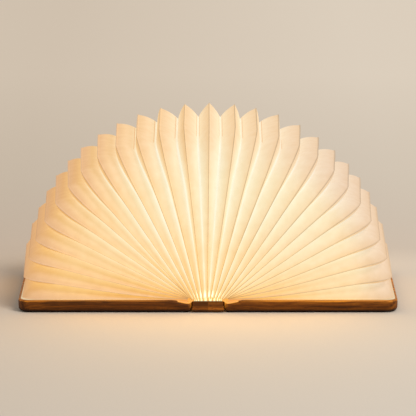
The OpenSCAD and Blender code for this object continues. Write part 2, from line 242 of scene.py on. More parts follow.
# %% Paper material: what adds to the glow (1), takes from it (-1), or is needed further down (0)
# A part is a product of factors. Each factor is a socket, the two places between which it changes,
# and the values that it goes from and to there, which are 0 and 1 if they aren't given. A socket
# alone is a factor as it is, and isn't held between 0 and 1.
streak_place = add(
    tree, "FloatCurve", {"Value": far}, points=[(0, 0), (0.2, 0), (0.36, 0.3), (0.6, 1), (0.82, 0.8), (0.92, 0)]
)
# painted shade: the glow is lowered toward the left, the side away from the key light
left = add(tree, "MapRange", {0: x, 1: -0.03, 2: -0.16})
left = add(tree, "Math", {0: left, 1: 1.5}, operation="POWER")
left = add(tree, "Math", {0: left, 1: 0.62}, operation="MULTIPLY")
SOFT = "SMOOTHSTEP"
parts = {
    "a sharp bright valley": (1, (width, 0.84, 0.97, SOFT), (streak_place,), (lean, 0.9, 0.2, 0.0, 0.3)),
    "low leaves, next to the root": (
        -1, (lean, 0.65, 1.05, SOFT), (reach, 0.0, 0.15, 0.5, 0.06), (side, 0.0, -1.0, 1.0, 1.6)
    ),
    "left side": (-1, (left,)),
    # the webs of the left leaves turn to the room, so there the glow falls off more toward the seam
    "seams on the left": (-1, (across, 0.0, 1.0, 0.18, 0.0), (spread, -0.01, -0.1)),
    "valleys on the left": (1, (reach, 0.05, 0.14, 0.28, 0.14), (spread, -0.1, -0.4), (across,)),
    # the webs of the low leaves on the right see less of the light next to the seam
    "low seams on the right": (-1, (across, 0.0, 1.0, 0.13, 0.0), (spread, 0.55, 0.8)),
    "leaning valleys, next to the light": (1, (reach, 0.02, 0.065, 0.2, 0.0), (lean, 0.15, 0.5), (across,)),
    "rim": (0, (reach, 0.125, 0.17, SOFT), (lean, 0.1, 0.5), (side, -1.0, 1.0, 0.12, 1.0)),
    "hot": (0, (reach, 0.008, 0.002, SOFT), (width, 0.25, 0.8, SOFT), (lean, 0.7, 0.4, SOFT)),
    "outermost": (0, (reach, 0.14, 0.168, 0.0, 0.6), (lean, 0.4, 0.75)),
}
for name, (sign, *factors) in parts.items():
    product = 1.0
    for socket, *places in factors:
        settings = {"interpolation_type": places.pop()} if SOFT in places else {}
        factor = add(tree, "MapRange", enumerate([socket, *places]), **settings) if places else socket
        product = add(tree, "Math", {0: product, 1: factor}, operation="MULTIPLY")
    parts[name] = product
    if sign:
        glow = add(tree, "Math", {0: product, 1: sign, 2: glow}, operation="MULTIPLY_ADD")
print("parts made of factors:", len(parts))

# %% Paper material: fibres, and the colour of the glow
# fibres: real ones are 0.02 mm thick and don't show, so the pattern is drawn 0.6 mm coarse
fibre = add(tree, "TexNoise", {"Vector": place, "Scale": 1 / (0.6 * MM), "Detail": 4.0, "Roughness": 0.65})
cloud = add(tree, "TexNoise", {"Vector": place, "Scale": 1 / (9 * MM), "Detail": 3.0})
for noise, most in ((fibre, 0.02), (cloud, 0.03)):
    noise = add(tree, "MapRange", {0: noise, 1: 0.3, 2: 0.7, 3: -most, 4: most})
    glow = add(tree, "Math", {0: glow, 1: noise}, operation="ADD")
glow = add(tree, "MapRange", {0: glow, 1: -0.3})
tint = add(
    tree, "ValToRGB", {"Fac": glow},
    stops=[(0, "#ca924e"), (0.23, "#d39b4e"), (0.42, "#dcae66"),
           (0.62, "#e0bd86"), (0.81, "#dfcda4"), (1, "#dedac1")],
)
edge = add(tree, "MapRange", {0: reach, 1: 0.11, 2: 0.165}, **SMOOTH)
at_edge = add(tree, "Mix", {"Factor": across, A: lin("#f1edee"), B: lin("#fefafc")}, data_type="RGBA")
for factor, colour, blend in (
    (edge, at_edge, "MULTIPLY"),  # the outer edge is furthest from the light, and its glow is a little pink
    (parts["rim"], (0.8, 0.81, 1.03, 1), "MULTIPLY"),  # the rim of a leaning leaf turns away from the light
    (parts["hot"], (1.25, 1.15, 0.75, 1), "MIX"),  # right above the light the paper is white-hot
):
    tint = add(tree, "Mix", {"Factor": factor, A: tint, B: colour}, data_type="RGBA", blend_type=blend)
print("glow and its colour:", len(tree.nodes), "nodes")

# %% Paper material: the glued seam
# two layers and glue let less light through; the room lights the right side of the thin ridge
beside = add(tree, "Math", {0: web, 1: side}, operation="MULTIPLY")
beside = add(tree, "MapRange", {0: beside, 1: -0.15, 2: 0.15})
seam = add(
    tree, "FloatCurve", {"Value": beside},
    points=[(0, 0.5), (0.18, 0.52), (0.36, 0.68), (0.5, 0.71), (0.6, 0.66), (0.7, 0.46), (0.82, 0.46), (1, 0.5)],
)
seam = add(tree, "MapRange", {0: seam, 3: -1.0, 4: 1.0})
# on the board there is no shadow under the ridge, only its pale edge
lying = add(tree, "MapRange", {0: lean, 1: 0.97, 2: 0.99, 3: 1.0, 4: -0.4})
seam = add(tree, "Math", {0: seam, 1: lying}, operation="MULTIPLY")
# it fades toward the outer edge of the low leaves
outermost = add(tree, "Math", {0: 1.0, 1: parts["outermost"]}, operation="SUBTRACT")
seam = add(tree, "Math", {0: seam, 1: outermost}, operation="MULTIPLY")
greyer = add(tree, "MapRange", {0: left, 1: 0.0, 2: 0.5})
lost = add(tree, "Mix", {"Factor": greyer, A: (1, 1, 1, 1), B: (0.66, 0.62, 0.22, 1)}, data_type="RGBA")
lost = add(tree, "VectorMath", {0: lost, "Scale": seam}, operation="SCALE")
kept = add(tree, "VectorMath", {0: (1.0, 1.0, 1.0), 1: lost}, operation="SUBTRACT")
tint = add(tree, "VectorMath", {0: tint, 1: kept}, operation="MULTIPLY")
shade = add(tree, "ValToRGB", {"Fac": cloud}, stops=[(0.3, "#86817a"), (0.7, "#8f8a83")])
bump = add(tree, "Bump", {"Height": fibre, "Strength": 0.25, "Distance": 0.05 * MM})
feed(shader, {"Base Color": shade, "Roughness": 0.75, "Normal": bump})
feed(shader, {"Emission Color": tint, "Emission Strength": 1.0})
print("paper material has", len(tree.nodes), "nodes")

# %% [markdown]
# ## The rule of a leaf
#
# Each leaf is a sheet folded to a V that runs up the front, round the corner, over the top and
# down the back, like a frame. The outer ridge of the V is a glued seam, and its two inner edges
# are the folds that it shares with its neighbours. A small node group gives the course of a seam
# or fold, as a distance from the root and a depth.

# %% Course of a seam or a fold
# shares of the way from the middle of the outer edge (0) to the root (1)
ARC_FROM, ARC_TO = 0.22, 0.58


def sockets(tree, kind, *names):
    for name in names:
        tree.interface.new_socket(name, in_out="INPUT", socket_type="NodeSocket" + kind)


course = bpy.data.node_groups.new("Course", "GeometryNodeTree")
sockets(course, "Float", "Along", "Start", "Half", "Root Depth", "Corner Depth")
sockets(course, "Vector", "Size")  # reach at the corner, radius of the corner, reach in the middle
for name in ("Reach", "Depth"):
    course.interface.new_socket(name, in_out="OUTPUT", socket_type="NodeSocketFloat")
given = add(course, "NodeGroupInput").outputs
end, radius, middle = add(course, "SeparateXYZ", {0: given["Size"]}).outputs
way = add(course, "MapRange", {0: given["Along"], 1: 1.0, 2: ARC_TO, 3: given["Start"], 4: 1.0})
turn = add(course, "MapRange", {0: given["Along"], 1: ARC_TO, 2: ARC_FROM, 3: 0.0, 4: math.pi / 2})
over = add(course, "MapRange", {0: given["Along"], 1: 0.0, 2: ARC_FROM})
corner = add(course, "Math", {0: end, 1: radius}, operation="SUBTRACT")
up = add(course, "Math", {0: way, 1: corner}, operation="MULTIPLY")
sine = add(course, "Math", {0: turn}, operation="SINE")
reach_out = add(course, "Math", {0: sine, 1: radius, 2: up}, operation="MULTIPLY_ADD")
level = add(course, "MapRange", {0: over, 3: middle, 4: end})
level = add(course, "Math", {0: level, 1: end}, operation="SUBTRACT")
reach_out = add(course, "Math", {0: reach_out, 1: level}, operation="ADD")
inset = add(course, "MapRange", {0: way, 3: given["Root Depth"], 4: given["Corner Depth"]})
cosine = add(course, "Math", {0: turn}, operation="COSINE")
round_in = add(course, "Math", {0: 1.0, 1: cosine}, operation="SUBTRACT")
inset = add(course, "Math", {0: round_in, 1: radius, 2: inset}, operation="MULTIPLY_ADD")
edge = add(course, "Math", {0: given["Half"], 1: inset}, operation="SUBTRACT")
edge = add(course, "Math", {0: edge, 1: over}, operation="MULTIPLY")
add(course, "NodeGroupOutput", {"Reach": reach_out, "Depth": edge})
print("course group:", len(course.nodes), "nodes")

# %% [markdown]
# ## A point on a leaf
#
# Paper folded and glued by hand never stands quite even. So a point isn't only a distance along a
# straight leaf: the leaf may stand beside its place at the root and at the outer edge, it sags
# between the two, and its back corner droops.

# %% Point on a leaf
on_leaf = bpy.data.node_groups.new("On leaf", "GeometryNodeTree")
sockets(on_leaf, "Float", "Tilt", "Root", "Droop", "Reach", "Depth")
sockets(on_leaf, "Vector", "Aside")  # at the root, at the outer edge, and sagging between
on_leaf.interface.new_socket("Point", in_out="OUTPUT", socket_type="NodeSocketVector")
given = add(on_leaf, "NodeGroupInput").outputs
at_root, at_edge, sag = add(on_leaf, "SeparateXYZ", {0: given["Aside"]}).outputs
part = add(on_leaf, "Math", {0: given["Reach"], 1: LEAF_LEN}, operation="DIVIDE")
left_over = add(on_leaf, "Math", {0: 1.0, 1: part}, operation="SUBTRACT")
belly = add(on_leaf, "Math", {0: left_over, 1: 2.0}, operation="POWER")
belly = add(on_leaf, "Math", {0: belly, 1: part}, operation="MULTIPLY")
belly = add(on_leaf, "Math", {0: belly, 1: 6.75}, operation="MULTIPLY")  # 1 at a third of the way
aside = add(on_leaf, "MapRange", {0: part, 3: at_root, 4: at_edge})
aside = add(on_leaf, "Math", {0: belly, 1: sag, 2: aside}, operation="MULTIPLY_ADD")
backward = add(on_leaf, "MapRange", {0: given["Depth"], 1: -LEAF_HALF, 2: LEAF_HALF}, **SMOOTH)
backward = add(on_leaf, "Math", {0: backward, 1: part}, operation="MULTIPLY")
backward = add(on_leaf, "Math", {0: backward, 1: part}, operation="MULTIPLY")
aside = add(on_leaf, "Math", {0: backward, 1: given["Droop"], 2: aside}, operation="MULTIPLY_ADD")
sine = add(on_leaf, "Math", {0: given["Tilt"]}, operation="SINE")
cosine = add(on_leaf, "Math", {0: given["Tilt"]}, operation="COSINE")
out_x = add(on_leaf, "Math", {0: sine, 1: given["Reach"], 2: given["Root"]}, operation="MULTIPLY_ADD")
out_x = add(on_leaf, "Math", {0: cosine, 1: aside, 2: out_x}, operation="MULTIPLY_ADD")
out_z = add(on_leaf, "Math", {0: cosine, 1: given["Reach"], 2: ROOT_Z}, operation="MULTIPLY_ADD")
down = add(on_leaf, "Math", {0: sine, 1: aside}, operation="MULTIPLY")
out_z = add(on_leaf, "Math", {0: out_z, 1: down}, operation="SUBTRACT")
point = add(on_leaf, "CombineXYZ", {0: out_x, 1: given["Depth"], 2: out_z})
add(on_leaf, "NodeGroupOutput", {"Point": point})
print("point group:", len(on_leaf.nodes), "nodes")

# %% [markdown]
# ## Growing a leaf with Geometry Nodes
#
# A flat grid is bent into place. Along the grid runs the course, and across it runs the V, from
# the fold on the side of the upright leaf (-1) over the seam (0) to the fold on the side of the
# board (1). The folds at the front and back don't lie half way between two seams: the paper
# hangs toward the board, so a fold hides behind the seam above it. The webs of the V bulge, as
# paper does that is wider than its gap. The tree also writes the three numbers that the paper
# material reads.

# %% Leaf tree: inputs
leaf_tree = bpy.data.node_groups.new("Pleated leaf", "GeometryNodeTree")
leaf_tree.interface.new_socket("Geometry", in_out="OUTPUT", socket_type="NodeSocketGeometry")
sockets(
    leaf_tree, "Float", "Tilt", "Pitch", "Root", "Inner Root", "Outer Root", "Droop", "Inner Droop",
    "Outer Droop", "Inner Lean", "Outer Lean", "Start", "From", "To", "Half Depth", "Pleat",
    "Root Pleat", "Fold Room", "Ridge", "Bulge",
)
sockets(
    leaf_tree, "Vector", "Aside", "Inner Aside", "Outer Aside", "Seam Front", "Seam Back",
    "Inner Fold Front", "Inner Fold Back", "Outer Fold Front", "Outer Fold Back",
)
sockets(leaf_tree, "Int", "Across", "Along")
sockets(leaf_tree, "Material", "Material")
given = add(leaf_tree, "NodeGroupInput").outputs
grid = add(
    leaf_tree, "GeometryNodeMeshGrid",
    {"Size X": 2.0, "Size Y": 2.0, "Vertices X": given["Across"], "Vertices Y": given["Along"]},
)
at = add(leaf_tree, "SeparateXYZ", {0: add(leaf_tree, "GeometryNodeInputPosition")}).outputs
v = add(leaf_tree, "MapRange", {0: at["X"], 1: -1.0, 2: 1.0, 3: given["From"], 4: given["To"]})
side = add(leaf_tree, "Math", {0: v}, operation="SIGN")
outer = add(leaf_tree, "FunctionNodeCompare", {0: v, 1: 0.0}, operation="GREATER_THAN")
w = add(leaf_tree, "Math", {0: v}, operation="ABSOLUTE")
w = add(leaf_tree, "Math", {0: w, 1: 1.5}, operation="POWER")
along = add(leaf_tree, "Math", {0: at["Y"]}, operation="ABSOLUTE")
front_back = add(leaf_tree, "Math", {0: at["Y"]}, operation="SIGN")
behind = add(leaf_tree, "FunctionNodeCompare", {0: at["Y"], 1: 0.0}, operation="GREATER_THAN")
print("leaf tree has", len(leaf_tree.interface.items_tree) - 1, "inputs")

# %% Leaf tree: seam, fold, and the neighbour's fold
seam_size, inner_size, outer_size = (
    add(leaf_tree, "GeometryNodeSwitch",
        {"Switch": behind, "False": given[name + " Front"], "True": given[name + " Back"]}, input_type="VECTOR")
    for name in ("Seam", "Inner Fold", "Outer Fold")
)
fold_size = add(
    leaf_tree, "GeometryNodeSwitch", {"Switch": outer, "False": inner_size, "True": outer_size}, input_type="VECTOR"
)
courses = []
for size, depths in ((seam_size, (0.0, 0.0)), (fold_size, (given["Root Pleat"], given["Pleat"]))):
    node = add(
        leaf_tree, "GeometryNodeGroup",
        {"Along": along, "Start": given["Start"], "Half": given["Half Depth"], "Size": size,
         "Root Depth": depths[0], "Corner Depth": depths[1]},
        node_tree=course,
    )
    depth = add(leaf_tree, "Math", {0: node.outputs["Depth"], 1: front_back}, operation="MULTIPLY")
    courses.append((node.outputs["Reach"], depth))
(seam_reach, seam_depth), (fold_reach, fold_depth) = courses

other_root, other_lean, other_droop, other_aside = (
    add(leaf_tree, "GeometryNodeSwitch",
        {"Switch": outer, "False": given["Inner " + name], "True": given["Outer " + name]}, input_type=kind)
    for name, kind in (("Root", "FLOAT"), ("Lean", "FLOAT"), ("Droop", "FLOAT"), ("Aside", "VECTOR"))
)
other_tilt = add(leaf_tree, "Math", {0: side, 1: given["Pitch"], 2: given["Tilt"]}, operation="MULTIPLY_ADD")
points = []
for tilt, root, droop, aside, reach, depth in (
    (given["Tilt"], given["Root"], given["Droop"], given["Aside"], seam_reach, seam_depth),
    (given["Tilt"], given["Root"], given["Droop"], given["Aside"], fold_reach, fold_depth),
    (other_tilt, other_root, other_droop, other_aside, fold_reach, fold_depth),
):
    points.append(add(
        leaf_tree, "GeometryNodeGroup",
        {"Tilt": tilt, "Root": root, "Droop": droop, "Aside": aside, "Reach": reach, "Depth": depth},
        node_tree=on_leaf,
    ))
top, base, neighbour = points
print("places on the seam and the two folds:", len(leaf_tree.nodes), "nodes")

# %% Leaf tree: where the fold lies, and how the web bulges
DRAWN_TIGHT = 45 * MM  # length of the outer end of a fold where it hangs less
gap = add(leaf_tree, "VectorMath", {0: neighbour, 1: base}, operation="SUBTRACT")
room = add(leaf_tree, "VectorMath", {0: gap}, operation="LENGTH").outputs["Value"]
fold_end = add(leaf_tree, "SeparateXYZ", {0: fold_size}).outputs["X"]
hang_from = add(leaf_tree, "Math", {0: fold_end, 1: DRAWN_TIGHT}, operation="SUBTRACT")
hang = add(leaf_tree, "MapRange", {0: fold_reach, 1: fold_end, 2: hang_from, 3: 0.6, 4: 1.0}, **SMOOTH)
share = add(leaf_tree, "Math", {0: other_lean, 1: hang}, operation="MULTIPLY")
share = add(leaf_tree, "Math", {0: share, 1: -0.5, 2: 0.5}, operation="MULTIPLY_ADD")
share = add(leaf_tree, "Math", {0: share, 1: room}, operation="MULTIPLY")
least = add(leaf_tree, "Math", {0: given["Fold Room"], 1: 0.5}, operation="MULTIPLY")
near = add(leaf_tree, "Math", {0: share, 1: least}, operation="MAXIMUM")
rest = add(leaf_tree, "Math", {0: room, 1: near}, operation="SUBTRACT")
width = add(leaf_tree, "GeometryNodeSwitch", {"Switch": outer, "False": rest, "True": near}, input_type="FLOAT")

FLANGE = 0.06  # share of the pleat that the glued seam takes
ridge = add(leaf_tree, "MapRange", {0: w, 1: 0.0, 2: FLANGE / 2, 3: 0.0, 4: given["Ridge"]})
free = add(leaf_tree, "MapRange", {0: w, 1: FLANGE, 2: 1.0})
angle = add(leaf_tree, "Math", {0: free, 1: math.pi / 2}, operation="MULTIPLY")
sine = add(leaf_tree, "Math", {0: angle}, operation="SINE")
cosine = add(leaf_tree, "Math", {0: angle}, operation="COSINE")
cosine = add(leaf_tree, "Math", {0: 1.0, 1: cosine}, operation="SUBTRACT")
across = add(leaf_tree, "MapRange", {0: given["Bulge"], 3: free, 4: sine})
deep = add(leaf_tree, "MapRange", {0: given["Bulge"], 3: free, 4: cosine})
inside = add(leaf_tree, "MapRange", {0: deep, 3: FLANGE, 4: 1.0})
flange = add(leaf_tree, "Math", {0: w, 1: FLANGE}, operation="MINIMUM")
in_web = add(leaf_tree, "FunctionNodeCompare", {0: w, 1: FLANGE}, operation="GREATER_THAN")
inside = add(leaf_tree, "GeometryNodeSwitch", {"Switch": in_web, "False": flange, "True": inside}, input_type="FLOAT")
open_width = add(leaf_tree, "Math", {0: width, 1: given["Ridge"]}, operation="SUBTRACT")
opened = add(leaf_tree, "Math", {0: across, 1: open_width, 2: ridge}, operation="MULTIPLY_ADD")

toward = add(leaf_tree, "VectorMath", {0: gap}, operation="NORMALIZE")
sideways = add(leaf_tree, "VectorMath", {0: toward, "Scale": opened}, operation="SCALE")
inward = add(leaf_tree, "VectorMath", {0: base, 1: top}, operation="SUBTRACT")
inward = add(leaf_tree, "VectorMath", {0: inward, "Scale": inside}, operation="SCALE")
placed = add(leaf_tree, "VectorMath", {0: top, 1: inward}, operation="ADD")
placed = add(leaf_tree, "VectorMath", {0: placed, 1: sideways}, operation="ADD")
print("with the web between them:", len(leaf_tree.nodes), "nodes")

# %% Leaf tree: what the material reads, and the end
reach_here = add(leaf_tree, "MapRange", {0: w, 3: seam_reach, 4: fold_reach})
# a hundredth of a step more, so that the two halves of the upright leaf know their side
leaning = add(leaf_tree, "Math", {0: given["Pitch"], 1: 0.01, 2: given["Tilt"]}, operation="MULTIPLY_ADD")
leaning = add(leaf_tree, "Math", {0: leaning, 1: math.pi / 2}, operation="DIVIDE")
signed = add(leaf_tree, "Math", {0: w, 1: side}, operation="MULTIPLY")
geometry = grid.outputs["Mesh"]
for name, value in (("web", signed), ("reach", reach_here), ("spread", leaning)):
    geometry = add(leaf_tree, "GeometryNodeStoreNamedAttribute", {"Geometry": geometry, "Name": name, "Value": value})
    geometry = geometry.outputs["Geometry"]
geometry = add(
    leaf_tree, "GeometryNodeStoreNamedAttribute",
    {"Geometry": geometry, "Name": "UVMap", "Value": grid.outputs["UV Map"]}, data_type="FLOAT2", domain="CORNER",
)
geometry = add(leaf_tree, "GeometryNodeSetPosition", {"Geometry": geometry, "Position": placed})
geometry = add(leaf_tree, "GeometryNodeRealizeInstances", {"Geometry": geometry})
geometry = add(leaf_tree, "GeometryNodeSetMaterial", {"Geometry": geometry, "Material": given["Material"]})
add(leaf_tree, "NodeGroupOutput", {"Geometry": geometry})
print("leaf tree:", len(leaf_tree.nodes), "nodes")

# %% [markdown]
# ## How each leaf stands
#
# These short tables give, for leaf 0 to 13 on each side, how many millimetres it stands beside
# its even place: at the root, at the outer edge, and how much it sags. Upright leaves also have
# rounder corners than low ones, because their outer edges are less drawn tight.

# %% Stance of the leaves, in millimetres
AT_ROOT = {
    "right": (-0.6, -2, -2, -2, -1, -0.1, 0.5, 0.5, 1, 0.6, 0.7, 0, 0, 0),
    "left": (0.6, 0.9, 0.8, 0.7, 1.1, 1.6, 1, 0.1, 0.3, 0.4, 0.2, 0.3, 0, 0),
}
AT_EDGE = {
    "right": (1.3, 2.6, 0.8, 0.2, 0, -0.3, 0.2, 0.5, 0.5, 0.7, 1.1, 0.9, 0.3, 0),
    "left": (-1.3, -0.9, 0.3, 0.5, 0.6, 0.6, 1.1, -0.1, 0.1, 0.8, 1.6, 1.1, 0.3, 0),
}
SAG = {
    "right": (0, 0.5, 0.5, 0.9, 1, 1.1, 1.3, 1.2, 1.5, 2.1, 2.1, 2.5, 3, 0),
    "left": (0, 0, 0.3, 0.6, 0.5, 0.6, 0.8, -0.4, 0, 0.2, 0.7, 1.3, 2.7, 0),
}
DROOP = {
    "right": (0, 0, 0.5, 2.2, 5.0, 6.8, 7.2, 6.3, 4.8, 2.2, -0.8, -2.2, -0.5, 0),
    "left": (0, 0, 0.5, 1.5, 2.6, 3.6, 4.2, 3.8, 3.0, 1.0, -0.8, -2.6, -0.5, 0),
}
BULGE = (0.25, 0.28, 0.32, 0.38, 0.46, 0.54, 0.6, 0.62, 0.64, 0.64, 0.62, 0.6, 0.6, 0.6)
FRONT_CORNER = (48, 48, 48, 47, 44, 42, 38, 31, 25, 21, 18, 17, 17, 16)
BACK_CORNER = (16, 17, 18, 20, 22, 24, 25, 24, 22, 20, 18, 17, 17, 16)
FRONT_REACH = (168, 168, 168, 168, 168, 167, 165.5, 164, 163.5, 163.5, 164, 165.5, 167, 167)
BACK_REACH = {
    "right": (168, 168, 168, 168, 167, 166, 166, 166.5, 167, 167.7, 168, 168.6, 169.5, 168.5),
    "left": (168, 168, 168, 168, 168, 168, 168, 168, 168, 168, 168.5, 170, 172, 169.5),
}
BACK_FOLD = (0, 0, 0, 0.8, 2, 2.5, 2.5, 2.5, 2.5, 2, 1, 0, 0, 0)  # deeper folds at the back, on the right


def size_of(hand, k, back, fold=False):
    """Reach at the corner, corner radius and middle reach, of a seam or of the fold outside it."""
    n = min(k + 1, LEAVES + 1)
    corner, reach = (BACK_CORNER, BACK_REACH[hand]) if back else (FRONT_CORNER, FRONT_REACH)
    middle = (FRONT_REACH[k] + BACK_REACH[hand][k]) / 2
    if not fold:
        return reach[k] * MM, corner[k] * MM, middle * MM
    inset = PLEAT / MM
    if back and hand == "right":
        inset += BACK_FOLD[k]
    between = max(VALLEY_CORNER / MM, (corner[k] + corner[n]) / 2 - inset)
    middle = (middle + (FRONT_REACH[n] + BACK_REACH[hand][n]) / 2) / 2
    return ((reach[k] + reach[n]) / 2 - inset) * MM, between * MM, (middle - inset) * MM


print("largest sag:", max(SAG["right"]), "mm")

# %% [markdown]
# ## One plain mesh for each leaf
#
# A modifier's input is set by its socket identifier, before Blender first evaluates the object.
# Solidify gives the sheet its thickness, and the result becomes a plain mesh. A leaf is soft, so
# it can't simply turn with its body while the lamp closes: it would also flatten toward its own
# plane, as much as the leaves come closer to each other. The helpers below work out that share,
# but no leaf is flattened here.

# %% Leaf helpers
SHARP = math.radians(50)  # where two faces meet at more than this, the edge stays sharp
LEAST_KEPT = 0.03  # share of a leaf's width, once the lamp is closed


def new_piece(name, mesh=None):
    piece = bpy.data.objects.new(name, mesh or bpy.data.meshes.new(name))
    bpy.context.scene.collection.objects.link(piece)
    return piece


def thicken(piece, thickness, side=0):
    """Gives a sheet its thickness, on one side (1 or -1) or half on each (0), and leaves a plain mesh."""
    solid = piece.modifiers.new("thickness", "SOLIDIFY")
    solid.thickness, solid.offset = thickness, side
    bpy.context.view_layer.update()
    evaluated = piece.evaluated_get(bpy.context.evaluated_depsgraph_get())
    mesh = bpy.data.meshes.new_from_object(evaluated)
    piece.modifiers.clear()
    piece.data = mesh
    mesh.name = piece.name
    mesh.shade_smooth()
    mesh.set_sharp_from_angle(angle=SHARP)


def grow(tree, name, **values):
    """An object whose mesh comes from a node tree, with the inputs given by name."""
    piece = new_piece(name)
    modifier = piece.modifiers.new(tree.name, "NODES")
    modifier.node_group = tree
    identifiers = {i.name: i.identifier for i in tree.interface.items_tree if i.in_out == "INPUT"}
    for key, value in values.items():
        modifier[identifiers[key.replace("_", " ")]] = value
    return piece


def lean_of(n):
    """How far the fold outside leaf n hangs toward the board."""
    return LEAN * (1 - math.exp(-(n + 0.2) / 1.6))


def start_of(k):
    """Where leaf k starts, as a share of the way to its corner: it needs room for its two folds."""
    n = min(k, LEAVES)
    dx = (root_x(n + 1) - root_x(n)) * math.cos(k * PITCH)
    return max(0.0, (FOLD_ROOM - dx) / (2 * math.sin(PITCH / 2))) / (LEAF_LEN - PLEAT - VALLEY_CORNER)


def closed_root(k):
    """Where the root plane of leaf k is once the lamp is closed."""
    turn = k * PITCH
    return HINGE_X + (root_x(k) - HINGE_X) * math.cos(turn) - (ROOT_Z - HINGE_Z) * math.sin(turn)


def keep_of(sides):
    """The share of its width that a leaf keeps when the lamp is closed."""
    shares = [(closed_root(n + 1) - closed_root(n)) / spacing(n, LEAF_LEN - PLEAT) for n in sides]
    return min(1.0, max(LEAST_KEPT, sum(shares) / len(shares)))


print("a middle leaf keeps", round(keep_of((4, 5)), 3), "of its width")

# %% Leaves
ALONG, ACROSS = 97, 9  # points along a leaf, and from its seam to one of its folds

for hand, sign in (("right", 1), ("left", -1)):
    for k in range(LEAVES + 2):
        inner, out = max(k - 1, 0), min(k + 1, LEAVES + 1)
        label = "middle_" + hand if k == 0 else "end_" + hand if k > LEAVES else f"{hand}_{k}"
        first, last = (0.0 if k == 0 else -1.0), (0.0 if k > LEAVES else 1.0)
        tilt = sign * k * PITCH
        inputs = {}
        for which, n in (("", k), ("Inner_", inner), ("Outer_", out)):
            inputs[which + "Root"] = sign * root_x(n)
            inputs[which + "Droop"] = sign * DROOP[hand][n] * MM
            inputs[which + "Aside"] = tuple(sign * table[hand][n] * MM for table in (AT_ROOT, AT_EDGE, SAG))
        for where, back in (("_Front", False), ("_Back", True)):
            inputs["Seam" + where] = size_of(hand, k, back)
            inputs["Inner_Fold" + where] = size_of(hand, inner, back, fold=True)
            inputs["Outer_Fold" + where] = size_of(hand, k, back, fold=True)
        piece = grow(
            leaf_tree, "paper_leaf_" + label, **inputs,
            Tilt=tilt, Pitch=sign * PITCH, Inner_Lean=lean_of(k - 1), Outer_Lean=lean_of(k),
            Start=start_of(k), From=first, To=last, Half_Depth=LEAF_HALF, Pleat=PLEAT, Root_Pleat=ROOT_PLEAT,
            Fold_Room=FOLD_ROOM, Ridge=RIDGE, Bulge=BULGE[k],
            Across=2 * ACROSS - 1 if last - first > 1 else ACROSS, Along=ALONG, Material=paper,
        )
        thicken(piece, PAPER_T)
        node = {0: "leaf_middle", LEAVES + 1: f"end_leaf_{hand}"}.get(k, f"leaf_{hand}_{k}")
        body = {0: "spine", LEAVES + 1: f"{hand}_cover"}.get(k, f"{hand}_leaf_{k}")
        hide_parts(node)
        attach(piece, body)
        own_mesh(piece)

# %% [markdown]
# ## Screens of the middle leaf
#
# Behind the front and the back folds of the middle leaf stands a low strip of the same paper, as
# wide as the spine. It can't be seen while the lamp is open. When the lamp closes, the leaves turn
# into thin blades with slits between their roots, and the strip then keeps the bare light out of
# sight.

# %% Screens
SCREEN_X, SCREEN_Y, SCREEN_Z = 13.5 * MM, 84.5 * MM, 66 * MM
IN_WEB, UPRIGHT = 0.5, 0.01  # what the paper material reads: half way across a web, hardly leaning


def join(shape, rows, turned):
    """Joins rows of points by faces. Turned faces look the other way."""
    for low, high in zip(rows, rows[1:]):
        for j in range(len(low) - 1):
            quad = (low[j], high[j], high[j + 1], low[j + 1])
            shape.faces.new(quad[::-1] if turned else quad)


def from_shape(name, shape, material):
    """A piece with one material, from a finished bmesh."""
    piece = new_piece(name)
    shape.to_mesh(piece.data)
    shape.free()
    piece.data.materials.append(material)
    return piece


for name, where in (("front", -1), ("back", 1)):
    shape = bmesh.new()
    columns, steps = 12, 9
    rows = []
    for i in range(columns + 1):
        x = SCREEN_X * (2 * i / columns - 1)
        heights = [ROOT_Z + (SCREEN_Z - ROOT_Z) * j / steps for j in range(steps + 1)]
        rows.append([shape.verts.new((x, where * SCREEN_Y, z)) for z in heights])
    join(shape, rows, turned=where > 0)
    screen = from_shape("paper_screen_" + name, shape, paper)
    reaches = [v.co.z - ROOT_Z for v in screen.data.vertices]
    for attribute, values in (
        ("web", [IN_WEB] * len(reaches)), ("reach", reaches), ("spread", [UPRIGHT] * len(reaches))
    ):
        screen.data.attributes.new(attribute, "FLOAT", "POINT").data.foreach_set("value", values)
    thicken(screen, PAPER_T)
    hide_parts("leaf_middle")
    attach(screen, "spine")
print("screens stand", round((SCREEN_Z - ROOT_Z) / MM, 1), "mm high")

# %% [markdown]
# ## Walnut
#
# The boards are oiled walnut. Three things show up close: growth rings as wide soft bands, fibres
# as fine streaks along the grain, and open pores as short dark dashes. The grain runs along X,
# away from the spine, so every pattern is stretched along X. The two boards are two different
# pieces of wood, so each takes its pattern from another place.

# %% Walnut material
RING_WIDTH = 5 * MM
HEART_BELOW = 45 * MM  # how far under the board the heart of the tree was
WANDER = 4.5 * MM
OTHER_WOOD = 31 * MM  # how far the pattern is moved, up on the right and down on the left


def wave_scale(width):
    """The scale of a wave texture whose bands are that far apart."""
    return math.tau / (20 * width)


